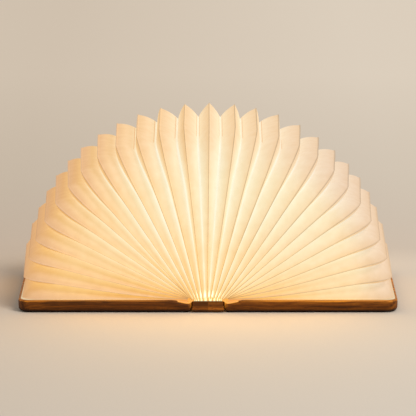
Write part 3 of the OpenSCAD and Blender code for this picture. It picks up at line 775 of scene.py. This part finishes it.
def walnut(name, dark, middle, light, roughness, heights):
    """Oiled walnut with its grain along X: satin, with dark pores that catch no light.

    Heights are the points of a curve over Z, from the table to 12 mm: painted shade and painted
    highlight, which scale the colour from dark to bright by height.
    """
    material, tree, shader = new_material(name)
    place = add(tree, "TexCoord").outputs["Object"]
    x, _, z = add(tree, "SeparateXYZ", {0: place}).outputs
    # painted shade and highlight: a curve over height scales the colour
    painted_shading = add(tree, "MapRange", {0: z, 2: BOARD_T})
    painted_shading = add(tree, "FloatCurve", {"Value": painted_shading}, points=heights)
    # the painted shade is lifted from the flat underside, which is the outside of the closed book, so it is nearly as
    # bright as the top
    under = add(tree, "Attribute", attribute_name="under").outputs["Fac"]
    painted_shading = add(tree, "Math", {0: painted_shading, 1: under}, operation="MAXIMUM")
    piece_of_wood = add(tree, "Math", {0: x}, operation="SIGN")
    shift = add(tree, "CombineXYZ", {0: 0.0, 1: 0.0, 2: piece_of_wood})
    shift = add(tree, "VectorMath", {0: shift, "Scale": OTHER_WOOD}, operation="SCALE")
    place = add(tree, "VectorMath", {0: place, 1: shift}, operation="ADD")
    # the rings are bent by a slow wander of the grain
    wander = add(tree, "Mapping", {0: place, 3: (1 / 0.16, 1 / 0.03, 1 / 0.03)})
    wander = add(tree, "TexNoise", {"Vector": wander, "Scale": 1.0, "Detail": 2.0})
    wander = add(tree, "MapRange", {0: wander, 1: 0.2, 2: 0.8, 3: -WANDER, 4: WANDER})
    bent = add(tree, "CombineXYZ", {0: 0.0, 1: wander, 2: wander})
    bent = add(tree, "VectorMath", {0: place, 1: bent}, operation="ADD")
    bent = add(tree, "VectorMath", {0: bent, 1: (0.0, 0.0, HEART_BELOW)}, operation="ADD")
    rings = add(
        tree, "TexWave", {"Vector": bent, "Scale": wave_scale(RING_WIDTH)}, wave_type="RINGS", rings_direction="X"
    )
    fibres = add(tree, "Mapping", {0: bent, 3: (1 / 0.09, 1 / (1 * MM), 1 / (1 * MM))})
    fibres = add(tree, "TexNoise", {"Vector": fibres, "Scale": 1.0, "Detail": 3.0, "Roughness": 0.6})
    pores = add(tree, "Mapping", {0: bent, 3: (1 / (7 * MM), 1 / (0.45 * MM), 1 / (0.45 * MM))})
    pores = add(tree, "TexNoise", {"Vector": pores, "Scale": 1.0, "Detail": 0.0})
    pores = add(tree, "MapRange", {0: pores, 1: 0.66, 2: 0.74, 4: 0.5})
    # some years leave a strong ring and others hardly any
    strength = add(tree, "Mapping", {0: bent, 3: (1 / 0.25, 1 / 0.014, 1 / 0.06)})
    strength = add(tree, "TexNoise", {"Vector": strength, "Scale": 1.0, "Detail": 2.0})
    strength = add(tree, "MapRange", {0: strength, 1: 0.35, 2: 0.65, 3: 0.04, 4: 0.5})
    rings = add(tree, "Math", {0: rings, 1: 0.5}, operation="SUBTRACT")
    tone = add(tree, "Math", {0: rings, 1: strength, 2: 0.15}, operation="MULTIPLY_ADD")
    tone = add(tree, "Math", {0: fibres, 1: 0.9, 2: tone}, operation="MULTIPLY_ADD")
    tone = add(tree, "Math", {0: piece_of_wood, 1: 0.05, 2: tone}, operation="MULTIPLY_ADD")
    colour = add(tree, "ValToRGB", {"Fac": tone}, stops=[(0.38, dark), (0.6, middle), (0.82, light)])
    colour = add(tree, "Mix", {"Factor": pores, A: colour, B: lin("#2c170b")}, data_type="RGBA")
    colour = add(tree, "VectorMath", {0: colour, "Scale": painted_shading}, operation="SCALE")
    # the glow of the paper on the rim, which is lost where the board dips toward the hinge
    rim = add(tree, "Attribute", attribute_name="rim").outputs["Fac"]
    from_middle = add(tree, "Math", {0: x}, operation="ABSOLUTE")
    away = add(tree, "MapRange", {0: from_middle, 1: 20 * MM, 2: BOARD_X1})
    away = add(tree, "FloatCurve", {"Value": away}, points=[(0, 0), (0.1, 0.04), (0.25, 0.3), (0.6, 0.34), (1, 0.3)])
    rim = add(tree, "Math", {0: rim, 1: away}, operation="MULTIPLY")
    # light that leaks out over the hinge, on the inner end of a board
    leak = add(tree, "MapRange", {0: from_middle, 1: 20.5 * MM, 2: 17 * MM, 4: 0.6}, **SMOOTH)
    upper = add(tree, "MapRange", {0: z, 1: 4 * MM, 2: 8.5 * MM})
    leak = add(tree, "Math", {0: leak, 1: upper}, operation="MULTIPLY")
    on_board = add(tree, "Math", {0: from_middle, 1: 16 * MM}, operation="GREATER_THAN")
    rim = add(tree, "Math", {0: leak, 1: on_board, 2: rim}, operation="MULTIPLY_ADD")
    lit = add(tree, "VectorMath", {0: colour, 1: (5.2, 5.8, 5.0)}, operation="MULTIPLY")
    lit = add(tree, "VectorMath", {0: lit, "Scale": rim}, operation="SCALE")
    satin = add(tree, "MapRange", {0: fibres, 3: roughness - 0.08, 4: roughness + 0.1})
    satin = add(tree, "Math", {0: pores, 1: 0.2, 2: satin}, operation="MULTIPLY_ADD")
    height = add(tree, "Math", {0: fibres, 1: pores}, operation="SUBTRACT")
    bump = add(tree, "Bump", {"Height": height, "Strength": 0.35, "Distance": 0.08 * MM})
    feed(shader, {"Base Color": colour, "Specular IOR Level": 0.15, "Roughness": satin, "Normal": bump})
    feed(shader, {"Emission Color": lit, "Emission Strength": 1.0})
    return material


# painted shade: the board darkens toward its lower round, where it meets the table
board_walnut = walnut(
    "oiled_walnut_board", "#3f2004", "#69380b", "#8f5413", 0.5,
    [(0, 0.06), (0.12, 0.12), (0.25, 0.5), (0.38, 0.9), (0.6, 1.0), (1, 1.0)],
)
# painted shade and a painted highlight: the spine is dark at the bottom, brightest in a band about 3 to 5 mm up,
# darker above and darkest at the top edge
spine_walnut = walnut(
    "oiled_walnut_spine", "#6e3d0f", "#945514", "#b56d22", 0.5,
    [(0, 0.12), (0.2, 0.28), (0.27, 0.75), (0.33, 1), (0.44, 1),
     (0.52, 0.62), (0.6, 0.48), (0.85, 0.46), (0.93, 0.3)],
)
print("walnut has", len(board_walnut.node_tree.nodes), "nodes")

# %% [markdown]
# ## Boards
#
# A board is cut from 12 mm wood. Its outer corners are rounded, the lower edge has a large round
# and the upper edge a small bevel. Toward the spine the top dips in a soft S, to leave room for
# the cloth hinge. The board is made of rings, one above the other: each ring is the outline of
# the board, moved in by as much as the edge is rounded at that height.

# %% Boards
DIP = 3.4 * MM
DIP_FROM, DIP_TO = 18.0 * MM, 39.0 * MM
OUTER_CORNER, INNER_CORNER = 12 * MM, 3 * MM
LOWER_ROUND, UPPER_ROUND = 5 * MM, 1.5 * MM
LEAST_ROUND = 0.3 * MM
STRAIGHT = (20.5, 22, 23.5, 25, 26.5, 28, 29.5, 31, 32.5, 34, 35.5, 37, 38.5, 40, 60, 90, 130)  # x of points, in mm


def board_top(x):
    t = min(1.0, max(0.0, (DIP_TO - x) / (DIP_TO - DIP_FROM)))
    return BOARD_T - DIP * t * t * (3 - 2 * t)


def board_outline(inset):
    """Half of the outline, from the hinge to the outer end, as (x, y)."""
    inner, outer = (max(corner - inset, LEAST_ROUND) for corner in (INNER_CORNER, OUTER_CORNER))
    x0, x1, y1 = BOARD_X0 + inset, BOARD_X1 - inset, BOARD_HALF - inset
    first, last = x0 + inner, x1 - outer
    turns = [math.radians(18 * i) for i in range(6)]
    points = [(first - inner * math.cos(a), y1 - inner * (1 - math.sin(a))) for a in turns]
    points += [(x * MM if x * MM > first + 0.2 * MM else first + 0.1 * MM, y1) for x in STRAIGHT]
    turns = [math.radians(7.5 * i) for i in range(13)]
    points += [(last + outer * math.sin(a), y1 - outer * (1 - math.cos(a))) for a in turns]
    return points


def board_mesh(name, sign):
    """A board, and how much each point takes the painted glow of the rim, or is spared the painted shade as part of
    the underside.
    """
    lower = [math.radians(90 / 8 * i) for i in range(9)]
    upper = [math.radians(90 / 5 * i) for i in range(6)]
    rings = [(LOWER_ROUND * (1 - math.sin(a)), LOWER_ROUND * (1 - math.cos(a)), 0) for a in lower]
    rings += [(UPPER_ROUND * (1 - math.cos(a)), -UPPER_ROUND * (1 - math.sin(a)), 1) for a in upper]
    shape = bmesh.new()
    loops = []
    for inset, z, on_top in rings:
        half = board_outline(inset)
        loop = [shape.verts.new((sign * x, -y, z + on_top * board_top(x))) for x, y in half]
        loop += [shape.verts.new((sign * x, y, z + on_top * board_top(x))) for x, y in reversed(half)]
        loops.append(loop)
    count = len(loops[0])
    for low, high in zip(loops, loops[1:]):
        for i in range(count):
            j = (i + 1) % count
            shape.faces.new((low[i], low[j], high[j], high[i]))
    for loop in (loops[0], loops[-1]):
        for i in range(count // 2 - 1):
            shape.faces.new((loop[i], loop[i + 1], loop[count - 2 - i], loop[count - 1 - i]))
    bmesh.ops.recalc_face_normals(shape, faces=shape.faces)
    mesh = bpy.data.meshes.new(name)
    shape.to_mesh(mesh)
    shape.free()
    rim = [min(1.0, max(0.0, (i - len(lower)) / 1.6)) for i in range(len(rings))]
    under = [max(0.0, 0.85 - 0.5 * i) for i in range(len(rings))]
    for attribute, values in (("rim", rim), ("under", under)):
        values = [value for value in values for _ in range(count)]
        mesh.attributes.new(attribute, "FLOAT", "POINT").data.foreach_set("value", values)
    mesh.shade_smooth()
    mesh.set_sharp_from_angle(angle=math.radians(40))
    return mesh


for hand, sign in (("right", 1), ("left", -1)):
    board = new_piece("board_" + hand, board_mesh("board_" + hand, sign))
    board.data.materials.append(board_walnut)
    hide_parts("cover_" + hand)
    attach(board, f"{hand}_cover")
print("a board has", len(board.data.polygons), "faces")

# %% [markdown]
# ## Cloth hinges
#
# A strip of woven book cloth joins each board to the spine, as in a hardcover book. It is glued
# on at both sides and bends over the gap. The strip follows its own UV map, so that the weave
# follows the cloth. It rides on no body, so it stays in place when the lamp closes.

# %% Book cloth
THREADS = 0.7 * MM  # from one thread on top to the next: threads are 0.35 mm apart
cloth, tree, shader = new_material("woven_cotton_book_cloth")
weave = add(tree, "UVMap", uv_map="UVMap")
warp, weft = (
    add(tree, "TexWave", {"Vector": weave, "Scale": wave_scale(THREADS)}, bands_direction=way) for way in "XY"
)
threads = add(tree, "Math", {0: warp, 1: weft}, operation="MULTIPLY")
slub = add(tree, "TexNoise", {"Vector": weave, "Scale": 1 / (3 * MM), "Detail": 2.0})
tone = add(tree, "Math", {0: threads, 1: 0.5, 2: slub}, operation="MULTIPLY_ADD")
colour = add(tree, "ValToRGB", {"Fac": tone}, stops=[(0.3, "#6b3c16"), (0.7, "#8f5a2a"), (1.0, "#a8763e")])
# light leaks out of the fan right over the hinge, so the cloth there is lit strongly
lit = add(tree, "ValToRGB", {"Fac": tone}, stops=[(0.3, "#d8902c"), (1.0, "#e6a844")])
bump = add(tree, "Bump", {"Height": threads, "Strength": 0.6, "Distance": 0.1 * MM})
feed(shader, {"Base Color": colour, "Roughness": 0.9, "Sheen Weight": 0.2, "Normal": bump})
feed(shader, {"Emission Color": lit, "Emission Strength": 1.0})
print("book cloth has", len(tree.nodes), "nodes")

# %% Hinge cloths
CLOTH_T, GLUE_T = 0.5 * MM, 0.12 * MM
CLOTH_HALF = 106.5 * MM
CLOTH_STEPS = 24
# the path of the cloth from the spine to the board, in mm: first x and z, then x along the board's top
OVER_GAP = ((13.9, 11.3), (14.5, 11.3), (15.1, 11.25), (15.7, 10.9),
            (16.3, 10.35), (17.0, 9.8), (17.9, 9.3), (18.8, 8.95))
ON_BOARD = (19.8, 21.5, 23.5, 25.5, 27.5, 29.0, 30.0)
path = [(x * MM, z * MM) for x, z in OVER_GAP] + [(x * MM, board_top(x * MM) + GLUE_T) for x in ON_BOARD]
run = [0.0]
for (xa, za), (xb, zb) in zip(path, path[1:]):
    run.append(run[-1] + math.hypot(xb - xa, zb - za))

for hand, sign in (("right", 1), ("left", -1)):
    shape = bmesh.new()
    uv = shape.loops.layers.uv.new("UVMap")
    lengthways = [CLOTH_HALF * (2 * j / CLOTH_STEPS - 1) for j in range(CLOTH_STEPS + 1)]
    join(shape, [[shape.verts.new((sign * x, y, z)) for y in lengthways] for x, z in path], turned=sign < 0)
    shape.verts.index_update()
    for loop in (loop for face in shape.faces for loop in face.loops):
        i, j = divmod(loop.vert.index, len(lengthways))
        loop[uv].uv = (run[i], 2 * CLOTH_HALF * j / CLOTH_STEPS)
    strip = from_shape("hinge_cloth_strip_" + hand, shape, cloth)
    thicken(strip, CLOTH_T, 1)
    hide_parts("hinge_cloth_" + hand)
    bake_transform(strip)
print("hinge cloth is", round(run[-1] * 1000, 1), "mm wide")

# %% [markdown]
# ## End papers
#
# As in a bound book, a sheet of strong paper is pasted over the inner side of each board. It
# covers the glued edge of the hinge cloth and follows the dip of the board. Its outer corners are
# rounded like the board's, so an even strip of wood stays in sight round it. Light from the fan
# falls on it: orange next to the hinge, and paler the further it gets.

# %% End paper material
def finish_nodes(material, *names):
    for name in names:
        for material_slot in nodes[name].material_slots:
            material_slot.material = material


lining_paper, tree, shader = new_material("pasted_lining_paper")
place = add(tree, "TexCoord").outputs["Object"]
fibre = add(tree, "TexNoise", {"Vector": place, "Scale": 1 / (0.8 * MM), "Detail": 4.0})
colour = add(tree, "ValToRGB", {"Fac": fibre}, stops=[(0.3, "#8f8674"), (0.7, "#978e7c")])
# the light of the fan on it: orange next to the hinge, pale cream toward the outer end
away = add(tree, "Math", {0: add(tree, "SeparateXYZ", {0: place})}, operation="ABSOLUTE")
away = add(tree, "MapRange", {0: away, 1: 20 * MM, 2: 184 * MM})
lit = add(
    tree, "ValToRGB", {"Fac": away},
    stops=[(0, "#c8762b"), (0.12, "#d08a3c"), (0.16, "#dd9a48"), (0.3, "#dba55a"), (0.7, "#cfae78"), (1, "#b5a180")],
)
bump = add(tree, "Bump", {"Height": fibre, "Strength": 0.2, "Distance": 0.05 * MM})
feed(shader, {"Base Color": colour, "Roughness": 0.8, "Normal": bump})
feed(shader, {"Emission Color": lit, "Emission Strength": 1.0})
print("lining paper has", len(tree.nodes), "nodes")

# %% End paper sheets
END_X = (20, 22, 24, 26, 28, 30, 32, 34, 36, 38, 40, 43, 50, 70, 100, 140, 170,
         175.7, 179, 181.5, 183.5, 184.3, 184.7)  # in mm, with most points where it bends or rounds
END_CORNER = 9 * MM
END_T = 0.25 * MM
END_LIFT, CLOTH_LIFT = 0.4 * MM, 0.5 * MM  # its top over the board, and how much more over the cloth
END_STEPS = 12
CLOTH_ENDS, CLOTH_UNDER = 40 * MM, 30 * MM  # where the bulge over the glued cloth begins, and is whole


def end_paper_top(x):
    """It lies on the board, and over the hinge cloth where that is glued on."""
    t = min(1.0, max(0.0, (CLOTH_ENDS - x) / (CLOTH_ENDS - CLOTH_UNDER)))
    return board_top(x) + END_LIFT + CLOTH_LIFT * t * t * (3 - 2 * t)


for hand, sign in (("right", 1), ("left", -1)):
    shape = bmesh.new()
    rows = []
    for x in (x * MM for x in END_X):
        past = max(0.0, x - (END_X[-1] * MM - END_CORNER))
        half = LEAF_HALF - END_CORNER + math.sqrt(max(0.0, END_CORNER**2 - past**2))
        ys = [half * (2 * j / END_STEPS - 1) for j in range(END_STEPS + 1)]
        rows.append([shape.verts.new((sign * x, y, end_paper_top(x))) for y in ys])
    join(shape, rows, turned=sign < 0)
    end_paper = from_shape("end_paper_" + hand, shape, lining_paper)
    thicken(end_paper, END_T, -1)
    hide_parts("lining_" + hand)
    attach(end_paper, f"{hand}_cover")
print("an end paper reaches from", END_X[0], "to", END_X[-1], "mm")

# %% [markdown]
# ## Finishes of the parts that keep their shape
#
# The spine and everything inside it have the right shape already. They only get materials, each
# from what the part is made of. The small paper strips at the front and back of the spine close
# the fan right over the light. They glow white-hot between darker lines, where leaves are glued on.

# %% Spine and root strips
finish_nodes(spine_walnut, "spine_housing")

hot_paper, tree, shader = new_material("nonwoven_paper_over_the_light")
place = add(tree, "TexCoord").outputs["Object"]
fibre = add(tree, "TexNoise", {"Vector": place, "Scale": 1 / (0.8 * MM), "Detail": 4.0})
colour = add(tree, "ValToRGB", {"Fac": fibre}, stops=[(0.3, "#fff8b0"), (0.7, "#fffdc4")])
# a darker line where each leaf is glued on: the root places, turned round to give the leaf number
number = add(tree, "Math", {0: add(tree, "SeparateXYZ", {0: place})}, operation="ABSOLUTE")
number = add(tree, "MapRange", {0: number, 1: 0.0, 2: HINGE_X, 3: 1.0, 4: 0.0})
number = add(tree, "Math", {0: number, 1: 1 / CROWDING}, operation="POWER")
number = add(tree, "MapRange", {0: number, 1: 1.0, 2: 0.0, 3: 0.0, 4: LEAVES + 1.0})
number = add(tree, "Math", {0: number, 1: 0.5}, operation="PINGPONG")
line = add(tree, "MapRange", {0: number, 1: 0.1, 2: 0.36}, **SMOOTH)
colour = add(tree, "Mix", {"Factor": line, A: lin("#d8943a"), B: colour}, data_type="RGBA")
feed(shader, {"Emission Color": colour, "Emission Strength": 1.0, "Base Color": lin("#8d8069"), "Roughness": 0.8})
finish_nodes(hot_paper, "root_strip_front", "root_strip_back")
print("root strips are finished with", hot_paper.name)

# %% [markdown]
# ### Metals
#
# The deck over the battery is anodised aluminium, brushed along its length. The screws and the
# magnet are bright steel. Metals keep their default IOR: their colour and roughness do the work.

# %% Metals
def metal(name, dark, light, roughness, stretch, scale):
    """A metal whose fine scratches run along Y when stretch is small."""
    material, tree, shader = new_material(name)
    place = add(tree, "TexCoord").outputs["Object"]
    place = add(tree, "Mapping", {0: place, 3: (1.0, stretch, 1.0)})
    grit = add(tree, "TexNoise", {"Vector": place, "Scale": 1 / scale, "Detail": 3.0})
    shade = add(tree, "ValToRGB", {"Fac": grit}, stops=[(0.3, dark), (0.7, light)])
    rough = add(tree, "MapRange", {0: grit, 3: roughness - 0.06, 4: roughness + 0.08})
    bump = add(tree, "Bump", {"Height": grit, "Strength": 0.15, "Distance": 0.02 * MM})
    feed(shader, {"Base Color": shade, "Metallic": 1.0, "Roughness": rough, "Normal": bump})
    return material


for name, dark, light, roughness, stretch, grit, *parts_of_it in (
    ("brushed_anodised_aluminium", "#b9bcc0", "#c3c6ca", 0.38, 0.05, 0.4, "deck"),
    ("zinc_plated_steel_screws", "#c6c8ca", "#d1d3d5", 0.3, 1.0, 0.3, "deck_screws", "board_screws"),
    ("nickel_plated_steel", "#cfd0d2", "#dadbdd", 0.25, 1.0, 0.5, "trigger_magnet", "usb_port"),
):
    finish_nodes(metal(name, dark, light, roughness, stretch, grit * MM), *parts_of_it)
print("deck is finished with", nodes["deck"].material_slots[0].material.name)

# %% [markdown]
# ### Light strip
#
# The strip is a white board with 23 small white LEDs under a half-round diffuser of frosted
# plastic. The diffuser spreads their light, so it glows as one bar. The other parts inside the
# spine are plastic, foam and foil, each with a fine mottle of its own grain.

# %% Light strip and electronics
def plain_finish(name, dark, light, roughness, grain, glow=None):
    """A non-metal with a fine mottle in its colour and a light bump."""
    material, tree, shader = new_material(name)
    place = add(tree, "TexCoord").outputs["Object"]
    mottle = add(tree, "TexNoise", {"Vector": place, "Scale": 1 / grain, "Detail": 3.0})
    colour = add(tree, "ValToRGB", {"Fac": mottle}, stops=[(0.3, dark), (0.7, light)])
    bump = add(tree, "Bump", {"Height": mottle, "Strength": 0.1, "Distance": 0.02 * MM})
    feed(shader, {"Base Color": colour, "Roughness": roughness, "Normal": bump})
    if glow:
        feed(shader, {"Emission Color": glow, "Emission Strength": 1.0})
    return material


LENS_GLOW, LED_GLOW = (1.3, 1.15, 0.75, 1), (1.5, 1.3, 0.8, 1)
for name, dark, light, roughness, grain, glow, *parts_of_it in (
    ("frosted_polycarbonate_diffuser", "#efe2c2", "#f7ecd2", 0.5, 1.0, LENS_GLOW, "lens"),
    ("warm_white_led", "#f6e3a0", "#fbeeb8", 0.35, 0.5, LED_GLOW, "leds"),
    ("white_led_board", "#e9e6dc", "#f2f0e8", 0.5, 0.6, None, "led_board"),
    ("battery_shrink_foil", "#2f5d8c", "#356697", 0.35, 2.0, None, "battery"),
    ("grey_foam_pad", "#6a6a68", "#7c7c79", 0.95, 0.5, None, "battery_pad"),
    ("silicone_wire", "#8e1f1a", "#a32a22", 0.45, 0.8, None, "battery_leads", "led_leads"),
    ("white_nylon_connector", "#e6e2d6", "#efece2", 0.5, 0.8, None, "battery_connector"),
    ("green_circuit_board", "#1d5a35", "#236a3f", 0.4, 0.7, None, "control_board"),
    ("black_epoxy_chip", "#1b1b1c", "#262627", 0.5, 0.3, None, "driver_chips", "hall_switch"),
    ("frosted_light_pipe", "#dfe6e2", "#ecf1ee", 0.4, 0.5, None, "charge_light"),
):
    finish_nodes(plain_finish(name, dark, light, roughness, grain * MM, glow), *parts_of_it)
print("materials:", len(bpy.data.materials))

# %% [markdown]
# ## Floor
#
# One large pale surface is both the floor and the background, because the camera looks down on
# it everywhere. Behind the lamp a soft change of tone with a darker band is painted shade that
# stands for the bend of a studio paper roll. A fine grain keeps it from looking like a flat fill.

# %% Floor
FLOOR = 14.0  # half its side, in metres
roll, tree, shader = new_material("matt_paper_roll")
shape = bmesh.new()
bmesh.ops.create_grid(shape, x_segments=8, y_segments=8, size=FLOOR)
floor = from_shape("floor", shape, roll)
place = add(tree, "TexCoord").outputs["Object"]
along = add(tree, "SeparateXYZ", {0: place}).outputs
depth = add(tree, "MapRange", {0: along["Y"], 1: -0.6, 2: 1.6})
# painted shade: the darker band behind the lamp stands for the shading where a paper roll bends up
colour = add(
    tree, "ValToRGB", {"Fac": depth},
    stops=[(0.0, "#d6cec3"), (0.15, "#d6cdc1"), (0.22, "#d8ccbd"), (0.27, "#d8ccbd"),
           (0.345, "#d8cbbc"), (0.385, "#cdc0b2"), (0.6, "#d4c9ba"), (1.0, "#dfd4c5")],
)
# painted light: the floor is lighter toward the right, the side of the key light
across = add(tree, "MapRange", {0: along["X"], 1: -0.22, 2: 0.22})
painted_side_light = add(tree, "Mix", {"Factor": across, A: lin("#f1eeeb"), B: lin("#ffffff")}, data_type="RGBA")
colour = add(tree, "VectorMath", {0: colour, 1: painted_side_light}, operation="MULTIPLY")
speck = add(tree, "TexNoise", {"Vector": place, "Scale": 1 / (2 * MM), "Detail": 3.0})
speck = add(tree, "MapRange", {0: speck, 1: 0.3, 2: 0.7, 3: 0.985, 4: 1.015})
colour = add(tree, "VectorMath", {0: colour, "Scale": speck}, operation="SCALE")
feed(shader, {"Base Color": colour, "Roughness": 0.9, "Specular IOR Level": 0.2})
print("floor is", 2 * FLOOR, "m wide")

# %% [markdown]
# ## Studio light
#
# A large soft lamp stands to the right and above, and an even sky fills the shadows. Together
# they give a level at which a colour renders about as it is written.

# %% Lights
def aim(lamp, at, target):
    """Puts a lamp somewhere and turns it to a target."""
    bpy.context.scene.collection.objects.link(lamp)
    lamp.location = at
    lamp.rotation_euler = (Vector(target) - Vector(at)).to_track_quat("-Z", "Y").to_euler()


KEY_FROM, KEY_STRENGTH, KEY_WIDTH = (1.6, -1.2, 2.2), 1.85, math.radians(28)
key = bpy.data.lights.new("key", "SUN")
key.energy, key.angle, key.color = KEY_STRENGTH, KEY_WIDTH, lin("#fffaf4")[:3]
aim(bpy.data.objects.new("key", key), KEY_FROM, (0, 0, 0))
print("key light comes from", KEY_FROM)

# %% [markdown]
# ### Glow on the table
#
# The paper glows by itself here, and its glow alone is too weak to warm the table as the real
# lamp does. Four thin lamps stand where the fan and the boards end, face outward and throw amber
# light on the table: most to the front, less to the back, and a little past the ends.

# %% Glow of the paper on the table
for name, watts, length, height, at, target in (
    ("glow_front", 0.39, 0.30, 0.30, (0, -0.1078, 0.154), (0, -1, 0.1)),
    ("glow_back", 0.12, 0.30, 0.12, (0, 0.1038, 0.077), (0, 1, 0.02)),
    ("glow_right", 0.014, 0.18, 0.06, (0.1875, 0, 0.05), (1, 0, 0.0)),
    ("glow_left", 0.011, 0.10, 0.06, (-0.1875, 0.03, 0.05), (-1, 0.03, 0.0)),
):
    glow = bpy.data.lights.new(name, "AREA")
    glow.shape, glow.size, glow.size_y = "RECTANGLE", length, height
    glow.energy, glow.color = watts, lin("#ffc866")[:3]
    glow_lamp = bpy.data.objects.new(name, glow)
    aim(glow_lamp, at, target)
    glow_lamp.visible_camera = False
print("lights:", len(bpy.data.lights))

# %% Sky
world = bpy.data.worlds.new("studio")
bpy.context.scene.world = world
world.use_nodes = True
feed(world.node_tree.nodes["Background"], {"Color": lin("#fdfaf6"), "Strength": 0.55})
bpy.context.scene.view_settings.view_transform = "Standard"
print("view transform:", bpy.context.scene.view_settings.view_transform)
